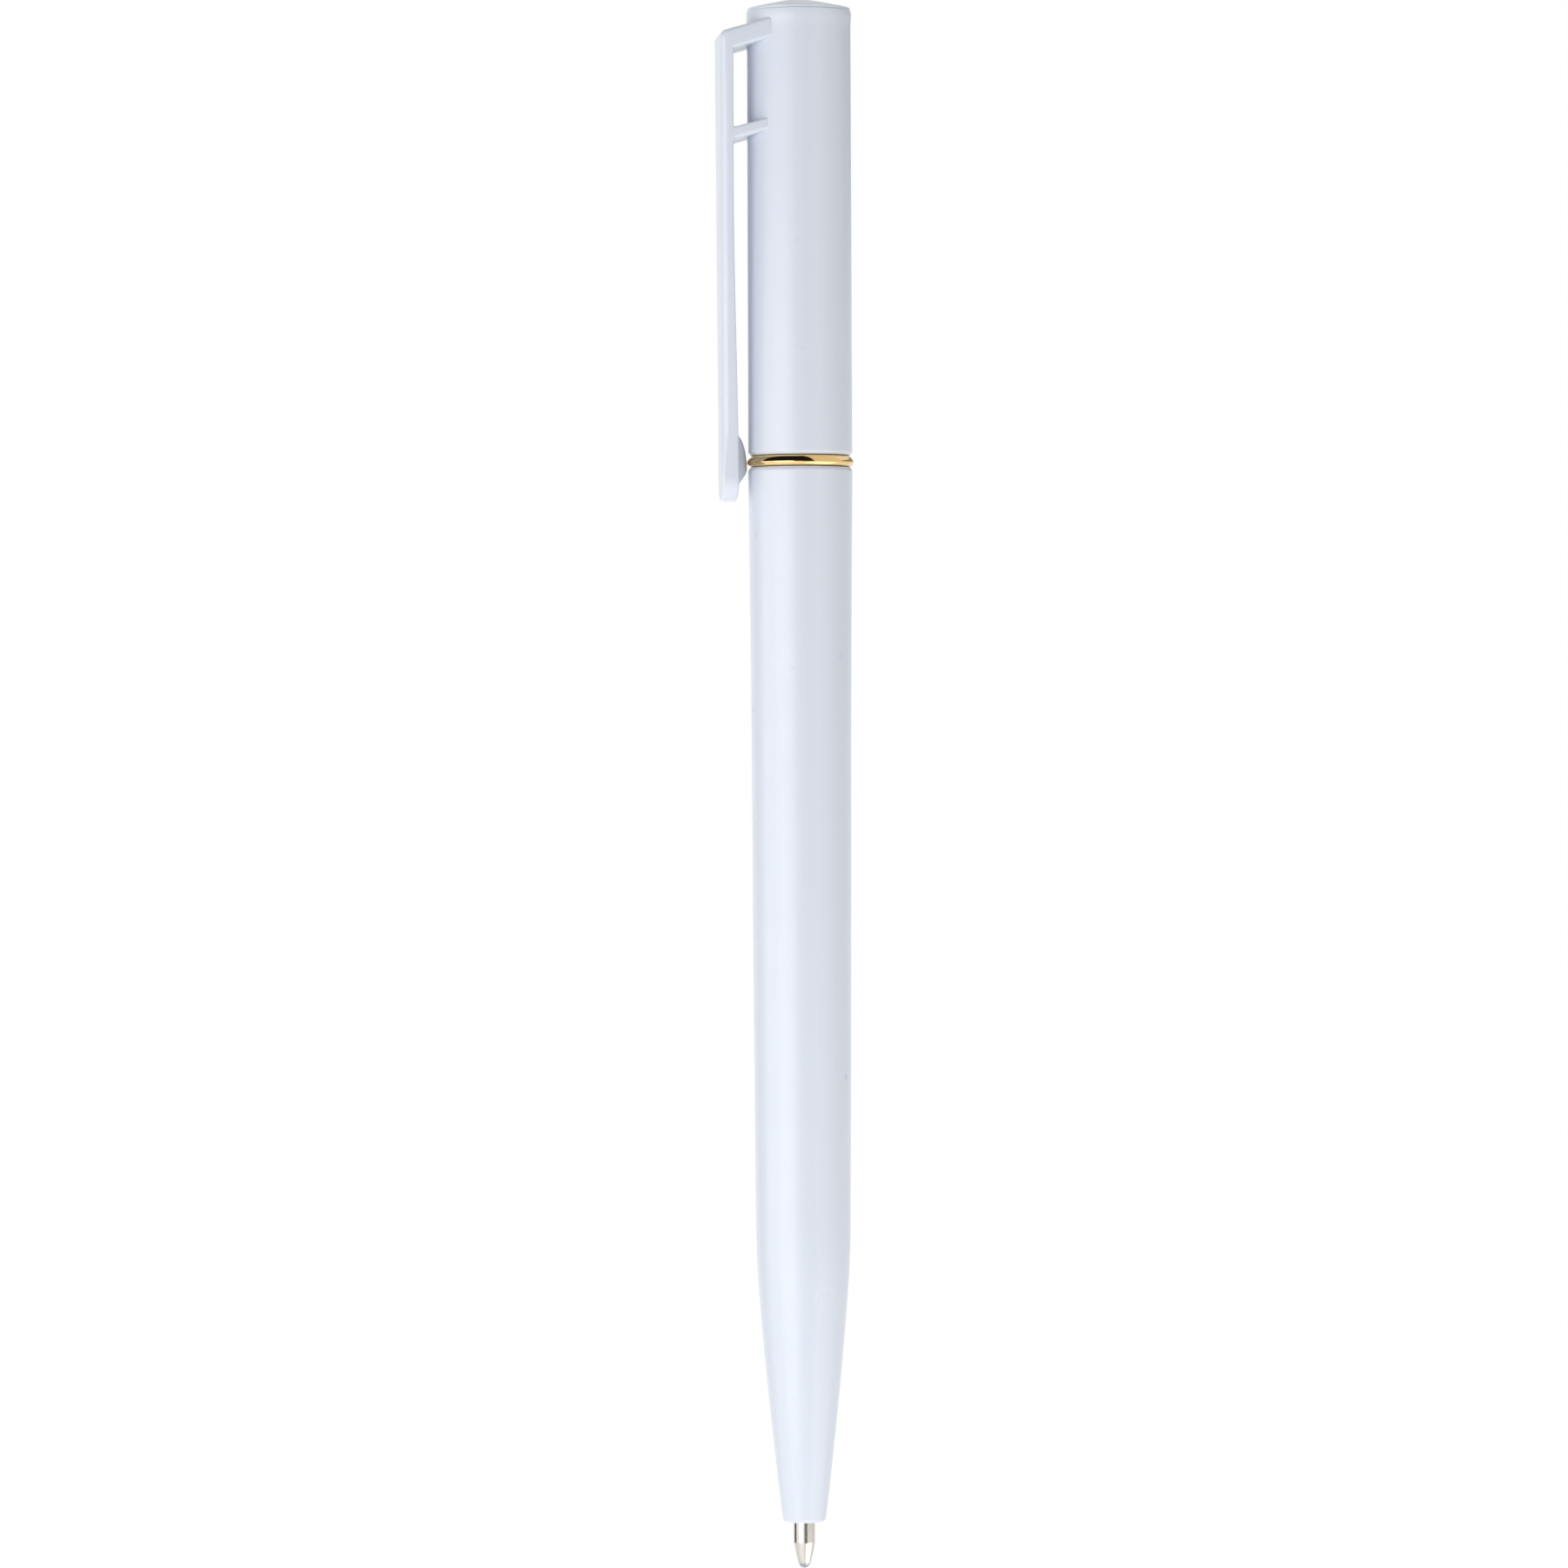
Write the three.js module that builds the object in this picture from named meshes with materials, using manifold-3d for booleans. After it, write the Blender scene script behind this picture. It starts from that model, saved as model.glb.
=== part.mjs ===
// A slim twist-action ballpoint pen, point down and point out, in millimetres.
// The pen stands along Z with its clip on the -X side. The origin is on the axis,
// where the fingers hold it. Heights named *_Z are counted up from the writing point,
// and the whole pen is lowered by GRIP_HEIGHT at the end.

import * as THREE from 'three';
import { mergeVertices } from 'three/addons/utils/BufferGeometryUtils.js';
import Module from 'manifold-3d';

const wasm = await Module();
wasm.setup();

// Where the fingers hold the pen, above the writing point
const GRIP_HEIGHT = 30;

// Lengths of the outside, from the point up
const POINT_REACH = 4.1;
const LOWER_BARREL_LENGTH = 94.15;
const RING_HEIGHT = 0.97;
const UPPER_BARREL_LENGTH = 39.65;
const PLUG_RIM_HEIGHT = 0.4;
const PLUG_DOME_HEIGHT = 0.65;

// Lower barrel outline: radii, the lengths between them, and the slope of the side at each
const NOSE_END_RADIUS = 1.9;
const NOSE_EDGE_RADIUS = 0.3;
const NOSE_END_SLOPE = 0.121;
const CONE_LENGTH = 21.15;
const CONE_RADIUS = 4.02;
const CONE_SLOPE = 0.073;
const BLEND_LENGTH = 6.25;
const GRIP_RADIUS = 4.236;
const GRIP_SLOPE = 0.0075;
const WAIST_LENGTH = 36.5;
const WAIST_RADIUS = 4.425;
const WAIST_SLOPE = 0.003;
const SHOULDER_RADIUS = 4.655;
const SHOULDER_SLOPE = 0.0115;
const LOWER_CHAMFER_WIDTH = 0.18;
const LOWER_CHAMFER_HEIGHT = 0.3;

// Upper barrel, ring and plug outlines
const UPPER_FOOT_RADIUS = 4.65;
const UPPER_TOP_RADIUS = 4.625;
const UPPER_CHAMFER_WIDTH = 0.23;
const UPPER_CHAMFER_HEIGHT = 0.26;
const RIM_CHAMFER = 0.1;
const RING_RADIUS = 4.78;
const RING_LIP_RADIUS = 4.36;
const RING_CREST_SHARE = 0.4;
const PLUG_RADIUS = 4.57;
const PLUG_EDGE_RADIUS = 0.2;
const PLUG_STEM_LENGTH = 5;
const PLUG_STEM_WALL = 0.9;

// Refill: a plastic tube with a metal point held in a plastic socket
const TUBE_RADIUS = 1.5;
const TUBE_WALL = 0.5;
const BALL_RADIUS = 0.5;
const BALL_PLAY = 0.03;
const LIP_HEIGHT = 0.42;
const LIP_WALL = 0.03;
const POINT_CONE_HEIGHT = 2.26;
const POINT_RADIUS = 0.95;
const POINT_TAIL_RADIUS = 0.6;
const POINT_TAIL_LENGTH = 4;
const INK_CHANNEL_RADIUS = 0.25;
const SOCKET_LIP_WIDTH = 0.2;
const SOCKET_LIP_HEIGHT = 0.8;
const SOCKET_BODY_HEIGHT = 1.7;
const SOCKET_SPIGOT_LENGTH = 4.5;
const INK_HEADROOM = 9;

// Return spring, pressed short while the point is out
const NOSE_CHANNEL_LENGTH = 4.9;
const SPRING_LENGTH = 6;
const SPRING_WIRE = 0.34;
const SPRING_TURNS = 8;

// Twist mechanism
const TRAVEL = 5.5;
const TWIST = Math.PI;
const PLUNGER_WALL = 0.5;
const PLUNGER_CUP_DEPTH = 6;
const PLUNGER_WEB = 1.2;
const PIN_RADIUS = 0.6;
const SLEEVE_WALL = 0.65;
const SLEEVE_SOCKET_LENGTH = 12;
const SLEEVE_FLANGE_WIDTH = 0.65;
const SLEEVE_FLANGE_HEIGHT = 1;
const NECK_WALL = 0.7;
const NECK_LENGTH = 8;
const CAM_END_WALL = 1.2;
const COLLAR_WIDTH = 0.5;
const COLLAR_HEIGHT = 1.5;
const CAM_STOP_WIDTH = 0.15;

// Clip, seen from the side: one plate on two sloping struts
const CLIP_GAP = 1.52;
const CLIP_THICKNESS = 1.15;
const CLIP_END_THICKNESS = 1.44;
const CLIP_LEAN = 0.15;
const CLIP_CORNER_RADIUS = 0.6;
const CLIP_FLARE_START = 16;
const CLIP_OVERHANG = 3.03;
const CLIP_WIDTH = 7.6;
const CLIP_END_WIDTH = 5.2;
const STRUT_DROP = 1.31;
const STRUT_HEIGHT = 1.85;
const SECOND_STRUT_DROP = 10.16;
const SECOND_STRUT_HEIGHT = 1.12;
const STRUT_SLOPE = 0.285;
const FLEX_LINE_DROP = 0.35;
const FLEX_LINE = 0.1;
const BUMP_RISE = 3.4;
const BUMP_HEIGHT_UP = 2.5;
const BUMP_HEIGHT_DOWN = 1.6;
const BUMP_WIDTH = 3;
const BUMP_CLEARANCE = 0.08;

// Clearances
const SEAT_GAP = 0.05;
const PRESS_GAP = 0.05;
const RUN_GAP = 0.1;
const PIN_GAP = 0.2;
const POINT_GAP = 0.2;

// Steps of the round shapes
const BARREL_SIDES = 48;
const TUBE_SIDES = 24;
const CURVE_STEPS = 6;
const LONG_SIDE_STEPS = 3;
const EDGE_STEPS = 2;
const CORNER_STEPS = 4;
const BEAD_STEPS = 8;
const HELIX_STEPS = 20;
const COIL_STEPS = 10;
const WIRE_STEPS = 3;
const BALL_SIDES = 16;
const BALL_STEPS = 12;

// Heights above the writing point that follow from the lengths
const NOSE_Z = POINT_REACH;
const SHOULDER_Z = NOSE_Z + LOWER_BARREL_LENGTH;
const RING_Z = SHOULDER_Z + SEAT_GAP;
const UPPER_Z = RING_Z + RING_HEIGHT + SEAT_GAP;
const RIM_Z = UPPER_Z + UPPER_BARREL_LENGTH;
const SPRING_FLOOR_Z = NOSE_Z + NOSE_CHANNEL_LENGTH;
const SOCKET_Z = SPRING_FLOOR_Z + SPRING_LENGTH + SEAT_GAP;
const TUBE_Z = SOCKET_Z + SOCKET_LIP_HEIGHT + SOCKET_BODY_HEIGHT + SEAT_GAP;
const NECK_TOP_Z = SHOULDER_Z + NECK_LENGTH;
const FLANGE_Z = NECK_TOP_Z + SEAT_GAP;
const CAM_Z = FLANGE_Z + SLEEVE_FLANGE_HEIGHT + RUN_GAP;

// Radii that follow from the refill outwards
const TUBE_BORE = TUBE_RADIUS - TUBE_WALL;
const SOCKET_LIP_RADIUS = TUBE_RADIUS + SOCKET_LIP_WIDTH;
const SPRING_BORE = SOCKET_LIP_RADIUS + RUN_GAP;
const NOSE_BORE = POINT_RADIUS + POINT_GAP;
const PLUNGER_BORE = TUBE_RADIUS + PRESS_GAP;
const PLUNGER_RADIUS = PLUNGER_BORE + PLUNGER_WALL;
const SLEEVE_BORE = PLUNGER_RADIUS + RUN_GAP;
const SLEEVE_RADIUS = SLEEVE_BORE + SLEEVE_WALL;
const LOWER_BORE = SLEEVE_RADIUS + PRESS_GAP;
const NECK_RADIUS = LOWER_BORE + NECK_WALL;
const RING_BORE = NECK_RADIUS + PRESS_GAP;
const UPPER_BORE = NECK_RADIUS + RUN_GAP;
const CAM_RADIUS = UPPER_BORE - PRESS_GAP;
const CAM_BORE = SLEEVE_RADIUS + RUN_GAP;
const HEAD_BORE = UPPER_BORE - CAM_STOP_WIDTH;

// The pin runs in a slot as high as its own slope asks for at the cam's inner wall
const CAM_SLOPE = TRAVEL / (TWIST * CAM_BORE);
const CAM_SLOT_HALF_HEIGHT = (PIN_RADIUS + PIN_GAP) * Math.hypot(1, CAM_SLOPE);
const PIN_Z = CAM_Z + CAM_END_WALL + CAM_SLOT_HALF_HEIGHT;
const CAM_TOP_Z = PIN_Z + TRAVEL + CAM_SLOT_HALF_HEIGHT + CAM_END_WALL;
const COLLAR_Z = CAM_TOP_Z + RUN_GAP;
const SLEEVE_TOP_Z = COLLAR_Z + COLLAR_HEIGHT;
const CUP_FLOOR_Z = PIN_Z - PIN_RADIUS - PLUNGER_WEB;
const TUBE_TOP_Z = CUP_FLOOR_Z - SEAT_GAP;

// Clip faces as distances from the axis, and its heights
const CLIP_INNER = UPPER_TOP_RADIUS + CLIP_GAP;
const CLIP_OUTER = CLIP_INNER + CLIP_THICKNESS;
const CLIP_END_OUTER = CLIP_OUTER - CLIP_LEAN;
const CLIP_END_INNER = CLIP_END_OUTER - CLIP_END_THICKNESS;
const CLIP_END_Z = SHOULDER_Z - CLIP_OVERHANG;
const FLEX_Z = RIM_Z - SECOND_STRUT_DROP - SECOND_STRUT_HEIGHT
  - STRUT_SLOPE * (CLIP_INNER - UPPER_TOP_RADIUS) - FLEX_LINE_DROP;

const finishes = {
  shell: new THREE.MeshStandardMaterial({ color: 0xe9edf3, roughness: 0.38, metalness: 0 }),
  gold: new THREE.MeshStandardMaterial({ color: 0xcaa86a, roughness: 0.12, metalness: 1 }),
  nickel: new THREE.MeshStandardMaterial({ color: 0xc9c6c0, roughness: 0.15, metalness: 1 }),
  carbide: new THREE.MeshStandardMaterial({ color: 0x9a9ca0, roughness: 0.1, metalness: 1 }),
  steel: new THREE.MeshStandardMaterial({ color: 0xb4b8bd, roughness: 0.25, metalness: 1 }),
  acetal: new THREE.MeshStandardMaterial({ color: 0xf2f2ee, roughness: 0.5, metalness: 0 }),
  tube: new THREE.MeshStandardMaterial({ color: 0xdfe4e8, roughness: 0.35, metalness: 0 }),
  ink: new THREE.MeshStandardMaterial({ color: 0x14204e, roughness: 0.3, metalness: 0 }),
};

// Turned shapes: a profile of [radius, height] pairs, up the outside and down the inside
function turned(profile, sides) {
  const points = profile.map(([radius, height]) => new THREE.Vector2(radius, height));
  const geometry = new THREE.LatheGeometry(points, sides);
  return geometry.rotateX(Math.PI / 2);
}

// A ring-shaped profile ends where it began
function turnedRing(profile, sides) {
  return turned([...profile, profile[0]], sides);
}

// Points on a smooth side that leaves the start and meets the end at the slopes given
function sideCurve([startRadius, startZ], startSlope, [endRadius, endZ], endSlope, steps) {
  const third = (endZ - startZ) / 3;
  const curve = new THREE.CubicBezierCurve(
    new THREE.Vector2(startRadius, startZ),
    new THREE.Vector2(startRadius + startSlope * third, startZ + third),
    new THREE.Vector2(endRadius - endSlope * third, endZ - third),
    new THREE.Vector2(endRadius, endZ),
  );
  return curve.getPoints(steps).map((point) => [point.x, point.y]);
}

// Points on a round arc about a centre, both ends included
function arc([centreRadius, centreZ], radius, startAngle, endAngle, steps) {
  return Array.from({ length: steps + 1 }, (_, step) => {
    const angle = startAngle + ((endAngle - startAngle) * step) / steps;
    return [centreRadius + radius * Math.cos(angle), centreZ + radius * Math.sin(angle)];
  });
}

// A geometry as a solid that can be joined and cut
function solid(geometry) {
  const bare = geometry.index ? geometry.toNonIndexed() : geometry.clone();
  bare.deleteAttribute('normal');
  bare.deleteAttribute('uv');
  const merged = mergeVertices(bare);
  const corners = merged.index.array;
  const kept = [];
  for (let start = 0; start < corners.length; start += 3) {
    const [a, b, c] = corners.slice(start, start + 3);
    if (a !== b && b !== c && c !== a) kept.push(a, b, c);
  }
  return new wasm.Manifold(new wasm.Mesh({
    numProp: 3,
    vertProperties: new Float32Array(merged.attributes.position.array),
    triVerts: new Uint32Array(kept),
  }));
}

// A joined or cut solid back as a geometry
function geometryOf(body) {
  const mesh = body.getMesh();
  const geometry = new THREE.BufferGeometry();
  geometry.setAttribute('position', new THREE.BufferAttribute(mesh.vertProperties, 3));
  geometry.setIndex(new THREE.BufferAttribute(mesh.triVerts, 1));
  return geometry;
}

// A side view of [distance out along -X, height] corners, carried across the pen's width
function sidePlate(corners, width) {
  const shape = new THREE.Shape(corners.map(([out, height]) => new THREE.Vector2(-out, height)));
  const geometry = new THREE.ExtrudeGeometry(shape, { depth: width, bevelEnabled: false });
  return geometry.rotateX(Math.PI / 2).translate(0, width / 2, 0);
}

// A front view of [Y, height] corners, carried along X from the axis outwards
function frontPlate(shape, reach) {
  const options = { depth: reach, bevelEnabled: false, curveSegments: CURVE_STEPS };
  const geometry = new THREE.ExtrudeGeometry(shape, options);
  const frontAxes = new THREE.Matrix4().makeBasis(
    new THREE.Vector3(0, 1, 0),
    new THREE.Vector3(0, 0, 1),
    new THREE.Vector3(1, 0, 0),
  );
  return geometry.applyMatrix4(frontAxes).translate(-reach, 0, 0);
}

// A spiral channel of upright rectangular section, for cutting one cam slot
function spiralCutter(innerRadius, outerRadius, halfHeight, angleAt, heightAt, start, end) {
  const positions = [];
  const faces = [];
  for (let step = 0; step <= HELIX_STEPS; step += 1) {
    const share = start + ((end - start) * step) / HELIX_STEPS;
    const angle = angleAt(share);
    const height = heightAt(share);
    const corners = [
      [innerRadius, -halfHeight],
      [outerRadius, -halfHeight],
      [outerRadius, halfHeight],
      [innerRadius, halfHeight],
    ];
    for (const [radius, rise] of corners) {
      positions.push(radius * Math.cos(angle), radius * Math.sin(angle), height + rise);
    }
  }
  for (let step = 0; step < HELIX_STEPS; step += 1) {
    for (let corner = 0; corner < 4; corner += 1) {
      const a = 4 * step + corner;
      const b = 4 * step + ((corner + 1) % 4);
      faces.push(a, b, a + 4, b, b + 4, a + 4);
    }
  }
  const last = 4 * HELIX_STEPS;
  faces.push(0, 2, 1, 0, 3, 2);
  faces.push(last, last + 1, last + 2, last, last + 2, last + 3);
  const geometry = new THREE.BufferGeometry();
  geometry.setAttribute('position', new THREE.Float32BufferAttribute(positions, 3));
  geometry.setIndex(faces);
  return geometry;
}

class SpringPath extends THREE.Curve {
  constructor(radius, startZ, endZ, turns) {
    super();
    Object.assign(this, { radius, startZ, endZ, turns });
  }

  getPoint(share, target = new THREE.Vector3()) {
    const angle = 2 * Math.PI * this.turns * share;
    const height = this.startZ + (this.endZ - this.startZ) * share;
    return target.set(this.radius * Math.cos(angle), this.radius * Math.sin(angle), height);
  }
}

// Outside of the lower barrel from its nose hole up to the shoulder under the ring
function lowerOutline() {
  const cone = [CONE_RADIUS, NOSE_Z + CONE_LENGTH];
  const grip = [GRIP_RADIUS, cone[1] + BLEND_LENGTH];
  const waist = [WAIST_RADIUS, grip[1] + WAIST_LENGTH];
  const shoulder = [SHOULDER_RADIUS, SHOULDER_Z - LOWER_CHAMFER_HEIGHT];
  const edgeCentre = [NOSE_END_RADIUS - NOSE_EDGE_RADIUS, NOSE_Z + NOSE_EDGE_RADIUS];
  return [
    ...arc(edgeCentre, NOSE_EDGE_RADIUS, -Math.PI / 2, 0, EDGE_STEPS),
    ...sideCurve([NOSE_END_RADIUS, edgeCentre[1]], NOSE_END_SLOPE, cone, CONE_SLOPE, CURVE_STEPS)
      .slice(1),
    ...sideCurve(cone, CONE_SLOPE, grip, GRIP_SLOPE, LONG_SIDE_STEPS).slice(1),
    ...sideCurve(grip, GRIP_SLOPE, waist, WAIST_SLOPE, LONG_SIDE_STEPS).slice(1),
    ...sideCurve(waist, WAIST_SLOPE, shoulder, SHOULDER_SLOPE, LONG_SIDE_STEPS).slice(1),
    [SHOULDER_RADIUS - LOWER_CHAMFER_WIDTH, SHOULDER_Z],
  ];
}

function makeLowerBarrel() {
  const chamberTopZ = SOCKET_Z + SEAT_GAP;
  const boreZ = NOSE_Z + CONE_LENGTH + BLEND_LENGTH;
  return turnedRing([
    [NOSE_BORE, NOSE_Z],
    ...lowerOutline(),
    [NECK_RADIUS, SHOULDER_Z],
    [NECK_RADIUS, NECK_TOP_Z],
    [LOWER_BORE, NECK_TOP_Z],
    [LOWER_BORE, boreZ],
    [SPRING_BORE, chamberTopZ],
    [SPRING_BORE, SPRING_FLOOR_Z],
    [NOSE_BORE, SPRING_FLOOR_Z],
  ], BARREL_SIDES);
}

// The ring's outside is a round bead between its two lips, fullest below its middle
function makeCentreRing() {
  const bulge = RING_RADIUS - RING_LIP_RADIUS;
  const crestHeight = RING_HEIGHT * RING_CREST_SHARE;
  const bead = arc([0, 0], 1, -Math.PI / 2, Math.PI / 2, BEAD_STEPS).map(([out, up]) => [
    RING_LIP_RADIUS + bulge * out,
    RING_Z + crestHeight + up * (up > 0 ? RING_HEIGHT - crestHeight : crestHeight),
  ]);
  return turnedRing([
    [RING_BORE, RING_Z],
    ...bead,
    [RING_BORE, RING_Z + RING_HEIGHT],
  ], BARREL_SIDES);
}

// The tube that stays with the lower barrel and lets the drive pin only rise and fall
function makeGuideSleeve() {
  const tube = solid(turnedRing([
    [SLEEVE_BORE, NECK_TOP_Z - SLEEVE_SOCKET_LENGTH],
    [SLEEVE_RADIUS, NECK_TOP_Z - SLEEVE_SOCKET_LENGTH],
    [SLEEVE_RADIUS, FLANGE_Z],
    [SLEEVE_RADIUS + SLEEVE_FLANGE_WIDTH, FLANGE_Z],
    [SLEEVE_RADIUS + SLEEVE_FLANGE_WIDTH, FLANGE_Z + SLEEVE_FLANGE_HEIGHT],
    [SLEEVE_RADIUS, FLANGE_Z + SLEEVE_FLANGE_HEIGHT],
    [SLEEVE_RADIUS, SLEEVE_TOP_Z],
    [SLEEVE_BORE, SLEEVE_TOP_Z],
  ], BARREL_SIDES));
  const slotRadius = PIN_RADIUS + PIN_GAP;
  const slot = new THREE.BoxGeometry(2 * slotRadius, 2 * CAM_RADIUS, TRAVEL + 2 * slotRadius);
  slot.translate(0, 0, PIN_Z + TRAVEL / 2);
  return geometryOf(tube.subtract(solid(slot)));
}

function makeRetainingCollar() {
  return turnedRing([
    [SLEEVE_RADIUS + PRESS_GAP, COLLAR_Z],
    [SLEEVE_RADIUS + PRESS_GAP + COLLAR_WIDTH, COLLAR_Z],
    [SLEEVE_RADIUS + PRESS_GAP + COLLAR_WIDTH, SLEEVE_TOP_Z],
    [SLEEVE_RADIUS + PRESS_GAP, SLEEVE_TOP_Z],
  ], BARREL_SIDES);
}

// The tube that turns with the upper barrel: two spiral slots lift the pin as it turns
function makeCamTube() {
  let tube = solid(turnedRing([
    [CAM_BORE, CAM_Z],
    [CAM_RADIUS, CAM_Z],
    [CAM_RADIUS, CAM_TOP_Z],
    [CAM_BORE, CAM_TOP_Z],
  ], BARREL_SIDES));
  const overrun = (PIN_RADIUS + PIN_GAP) / (TWIST * CAM_BORE);
  for (const pinAngle of [Math.PI / 2, -Math.PI / 2]) {
    tube = tube.subtract(solid(spiralCutter(
      SLEEVE_RADIUS,
      UPPER_BORE,
      CAM_SLOT_HALF_HEIGHT,
      (share) => pinAngle - TWIST * share,
      (share) => PIN_Z + TRAVEL * share,
      -overrun,
      1 + overrun,
    )));
  }
  return geometryOf(tube);
}

function makePlunger() {
  const topZ = PIN_Z + PIN_RADIUS + PLUNGER_WEB;
  const body = solid(turned([
    [0, CUP_FLOOR_Z],
    [PLUNGER_BORE, CUP_FLOOR_Z],
    [PLUNGER_BORE, CUP_FLOOR_Z - PLUNGER_CUP_DEPTH],
    [PLUNGER_RADIUS, CUP_FLOOR_Z - PLUNGER_CUP_DEPTH],
    [PLUNGER_RADIUS, topZ],
    [0, topZ],
  ], TUBE_SIDES));
  const pinHole = new THREE.CylinderGeometry(
    PIN_RADIUS + PRESS_GAP,
    PIN_RADIUS + PRESS_GAP,
    2 * CAM_RADIUS,
    TUBE_SIDES,
  );
  return geometryOf(body.subtract(solid(pinHole.translate(0, 0, PIN_Z))));
}

function makeDrivePin() {
  const length = 2 * (CAM_RADIUS - PRESS_GAP);
  return new THREE.CylinderGeometry(PIN_RADIUS, PIN_RADIUS, length, TUBE_SIDES / 2)
    .translate(0, 0, PIN_Z);
}

function makeRefillTube() {
  return turnedRing([
    [TUBE_BORE, TUBE_Z],
    [TUBE_RADIUS, TUBE_Z],
    [TUBE_RADIUS, TUBE_TOP_Z],
    [TUBE_BORE, TUBE_TOP_Z],
  ], TUBE_SIDES);
}

// The spring presses on the socket's lip, and its spigot plugs the tube
function makeRefillSocket() {
  const bore = POINT_TAIL_RADIUS + PRESS_GAP;
  const spigot = TUBE_BORE - PRESS_GAP;
  const lipTopZ = SOCKET_Z + SOCKET_LIP_HEIGHT;
  const bodyTopZ = lipTopZ + SOCKET_BODY_HEIGHT;
  return turnedRing([
    [bore, SOCKET_Z],
    [SOCKET_LIP_RADIUS, SOCKET_Z],
    [SOCKET_LIP_RADIUS, lipTopZ],
    [TUBE_RADIUS, lipTopZ],
    [TUBE_RADIUS, bodyTopZ],
    [spigot, bodyTopZ],
    [spigot, bodyTopZ + SOCKET_SPIGOT_LENGTH],
    [bore, bodyTopZ + SOCKET_SPIGOT_LENGTH],
  ], TUBE_SIDES);
}

// The metal point: a turned cone with its lip rolled in over the ball's widest part
function makeRefillPoint() {
  const seat = BALL_RADIUS + BALL_PLAY;
  const shoulderZ = SOCKET_Z - SEAT_GAP;
  const lipAngle = Math.asin((LIP_HEIGHT - BALL_RADIUS) / seat);
  const channelAngle = Math.acos(INK_CHANNEL_RADIUS / seat);
  const tailTopZ = shoulderZ + SEAT_GAP + POINT_TAIL_LENGTH;
  return turnedRing([
    [seat + LIP_WALL, LIP_HEIGHT],
    [POINT_RADIUS, POINT_CONE_HEIGHT],
    [POINT_RADIUS, shoulderZ],
    [POINT_TAIL_RADIUS, shoulderZ],
    [POINT_TAIL_RADIUS, tailTopZ],
    [INK_CHANNEL_RADIUS, tailTopZ],
    ...arc([0, BALL_RADIUS], seat, channelAngle, lipAngle, CURVE_STEPS),
  ], TUBE_SIDES);
}

function makeWritingBall() {
  return new THREE.SphereGeometry(BALL_RADIUS, BALL_SIDES, BALL_STEPS).translate(0, 0, BALL_RADIUS);
}

function makeInk() {
  const startZ = TUBE_Z + SOCKET_SPIGOT_LENGTH;
  const radius = TUBE_BORE - PRESS_GAP;
  return turned([
    [0, startZ],
    [radius, startZ],
    [radius, TUBE_TOP_Z - INK_HEADROOM],
    [0, TUBE_TOP_Z - INK_HEADROOM],
  ], TUBE_SIDES);
}

function makeReturnSpring() {
  const wireRadius = SPRING_WIRE / 2;
  const inset = wireRadius + SEAT_GAP;
  const path = new SpringPath(
    (POINT_RADIUS + SPRING_BORE) / 2,
    SPRING_FLOOR_Z + inset,
    SOCKET_Z - inset,
    SPRING_TURNS,
  );
  const wire = new THREE.Shape();
  wire.absarc(0, 0, wireRadius, 0, 2 * Math.PI);
  return new THREE.ExtrudeGeometry(wire, {
    extrudePath: path,
    steps: COIL_STEPS * SPRING_TURNS,
    curveSegments: WIRE_STEPS,
    bevelEnabled: false,
  });
}

// The clip's outline from the front: a long taper with a round lower end
function clipFront() {
  const halfTop = CLIP_WIDTH / 2;
  const halfEnd = CLIP_END_WIDTH / 2;
  const shape = new THREE.Shape();
  shape.moveTo(halfTop, RIM_Z);
  shape.lineTo(-halfTop, RIM_Z);
  shape.lineTo(-halfEnd, CLIP_END_Z + halfEnd);
  shape.absarc(0, CLIP_END_Z + halfEnd, halfEnd, Math.PI, 2 * Math.PI);
  shape.lineTo(halfTop, RIM_Z);
  return solid(frontPlate(shape, 2 * CLIP_OUTER));
}

// Distance from the axis of the clip's outer face at a height
function clipOuterAt(height) {
  const share = (RIM_Z - height) / (RIM_Z - CLIP_END_Z);
  return CLIP_OUTER - CLIP_LEAN * share;
}

// Distance from the axis of its inner face, which swells below the flare's start
function clipInnerAt(height) {
  const flareZ = RIM_Z - CLIP_FLARE_START;
  const share = (flareZ - height) / (flareZ - CLIP_END_Z);
  return CLIP_INNER - (CLIP_INNER - CLIP_END_INNER) * Math.max(0, share);
}

// Height of a strut's top face at a distance from the axis: the struts slope down outwards
function strutTopAt(out, drop) {
  return RIM_Z - drop - STRUT_SLOPE * (out - UPPER_TOP_RADIUS);
}

// One strut from the plate's inner face in to the barrel and back out, top face first
function strutOutline(drop, height) {
  const root = UPPER_BORE / 2;
  return [
    [CLIP_INNER, strutTopAt(CLIP_INNER, drop)],
    [root, strutTopAt(root, drop)],
    [root, strutTopAt(root, drop) - height],
    [CLIP_INNER, strutTopAt(CLIP_INNER, drop) - height],
  ];
}

// The round corner where the upper strut's top face turns down into the outer face
function clipCorner() {
  const slant = Math.atan(STRUT_SLOPE);
  const out = CLIP_OUTER - CLIP_CORNER_RADIUS;
  const touch = out + CLIP_CORNER_RADIUS * Math.sin(slant);
  const centreZ = strutTopAt(touch, STRUT_DROP) - CLIP_CORNER_RADIUS * Math.cos(slant);
  return arc([out, centreZ], CLIP_CORNER_RADIUS, 0, Math.PI / 2 - slant, CORNER_STEPS);
}

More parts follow.
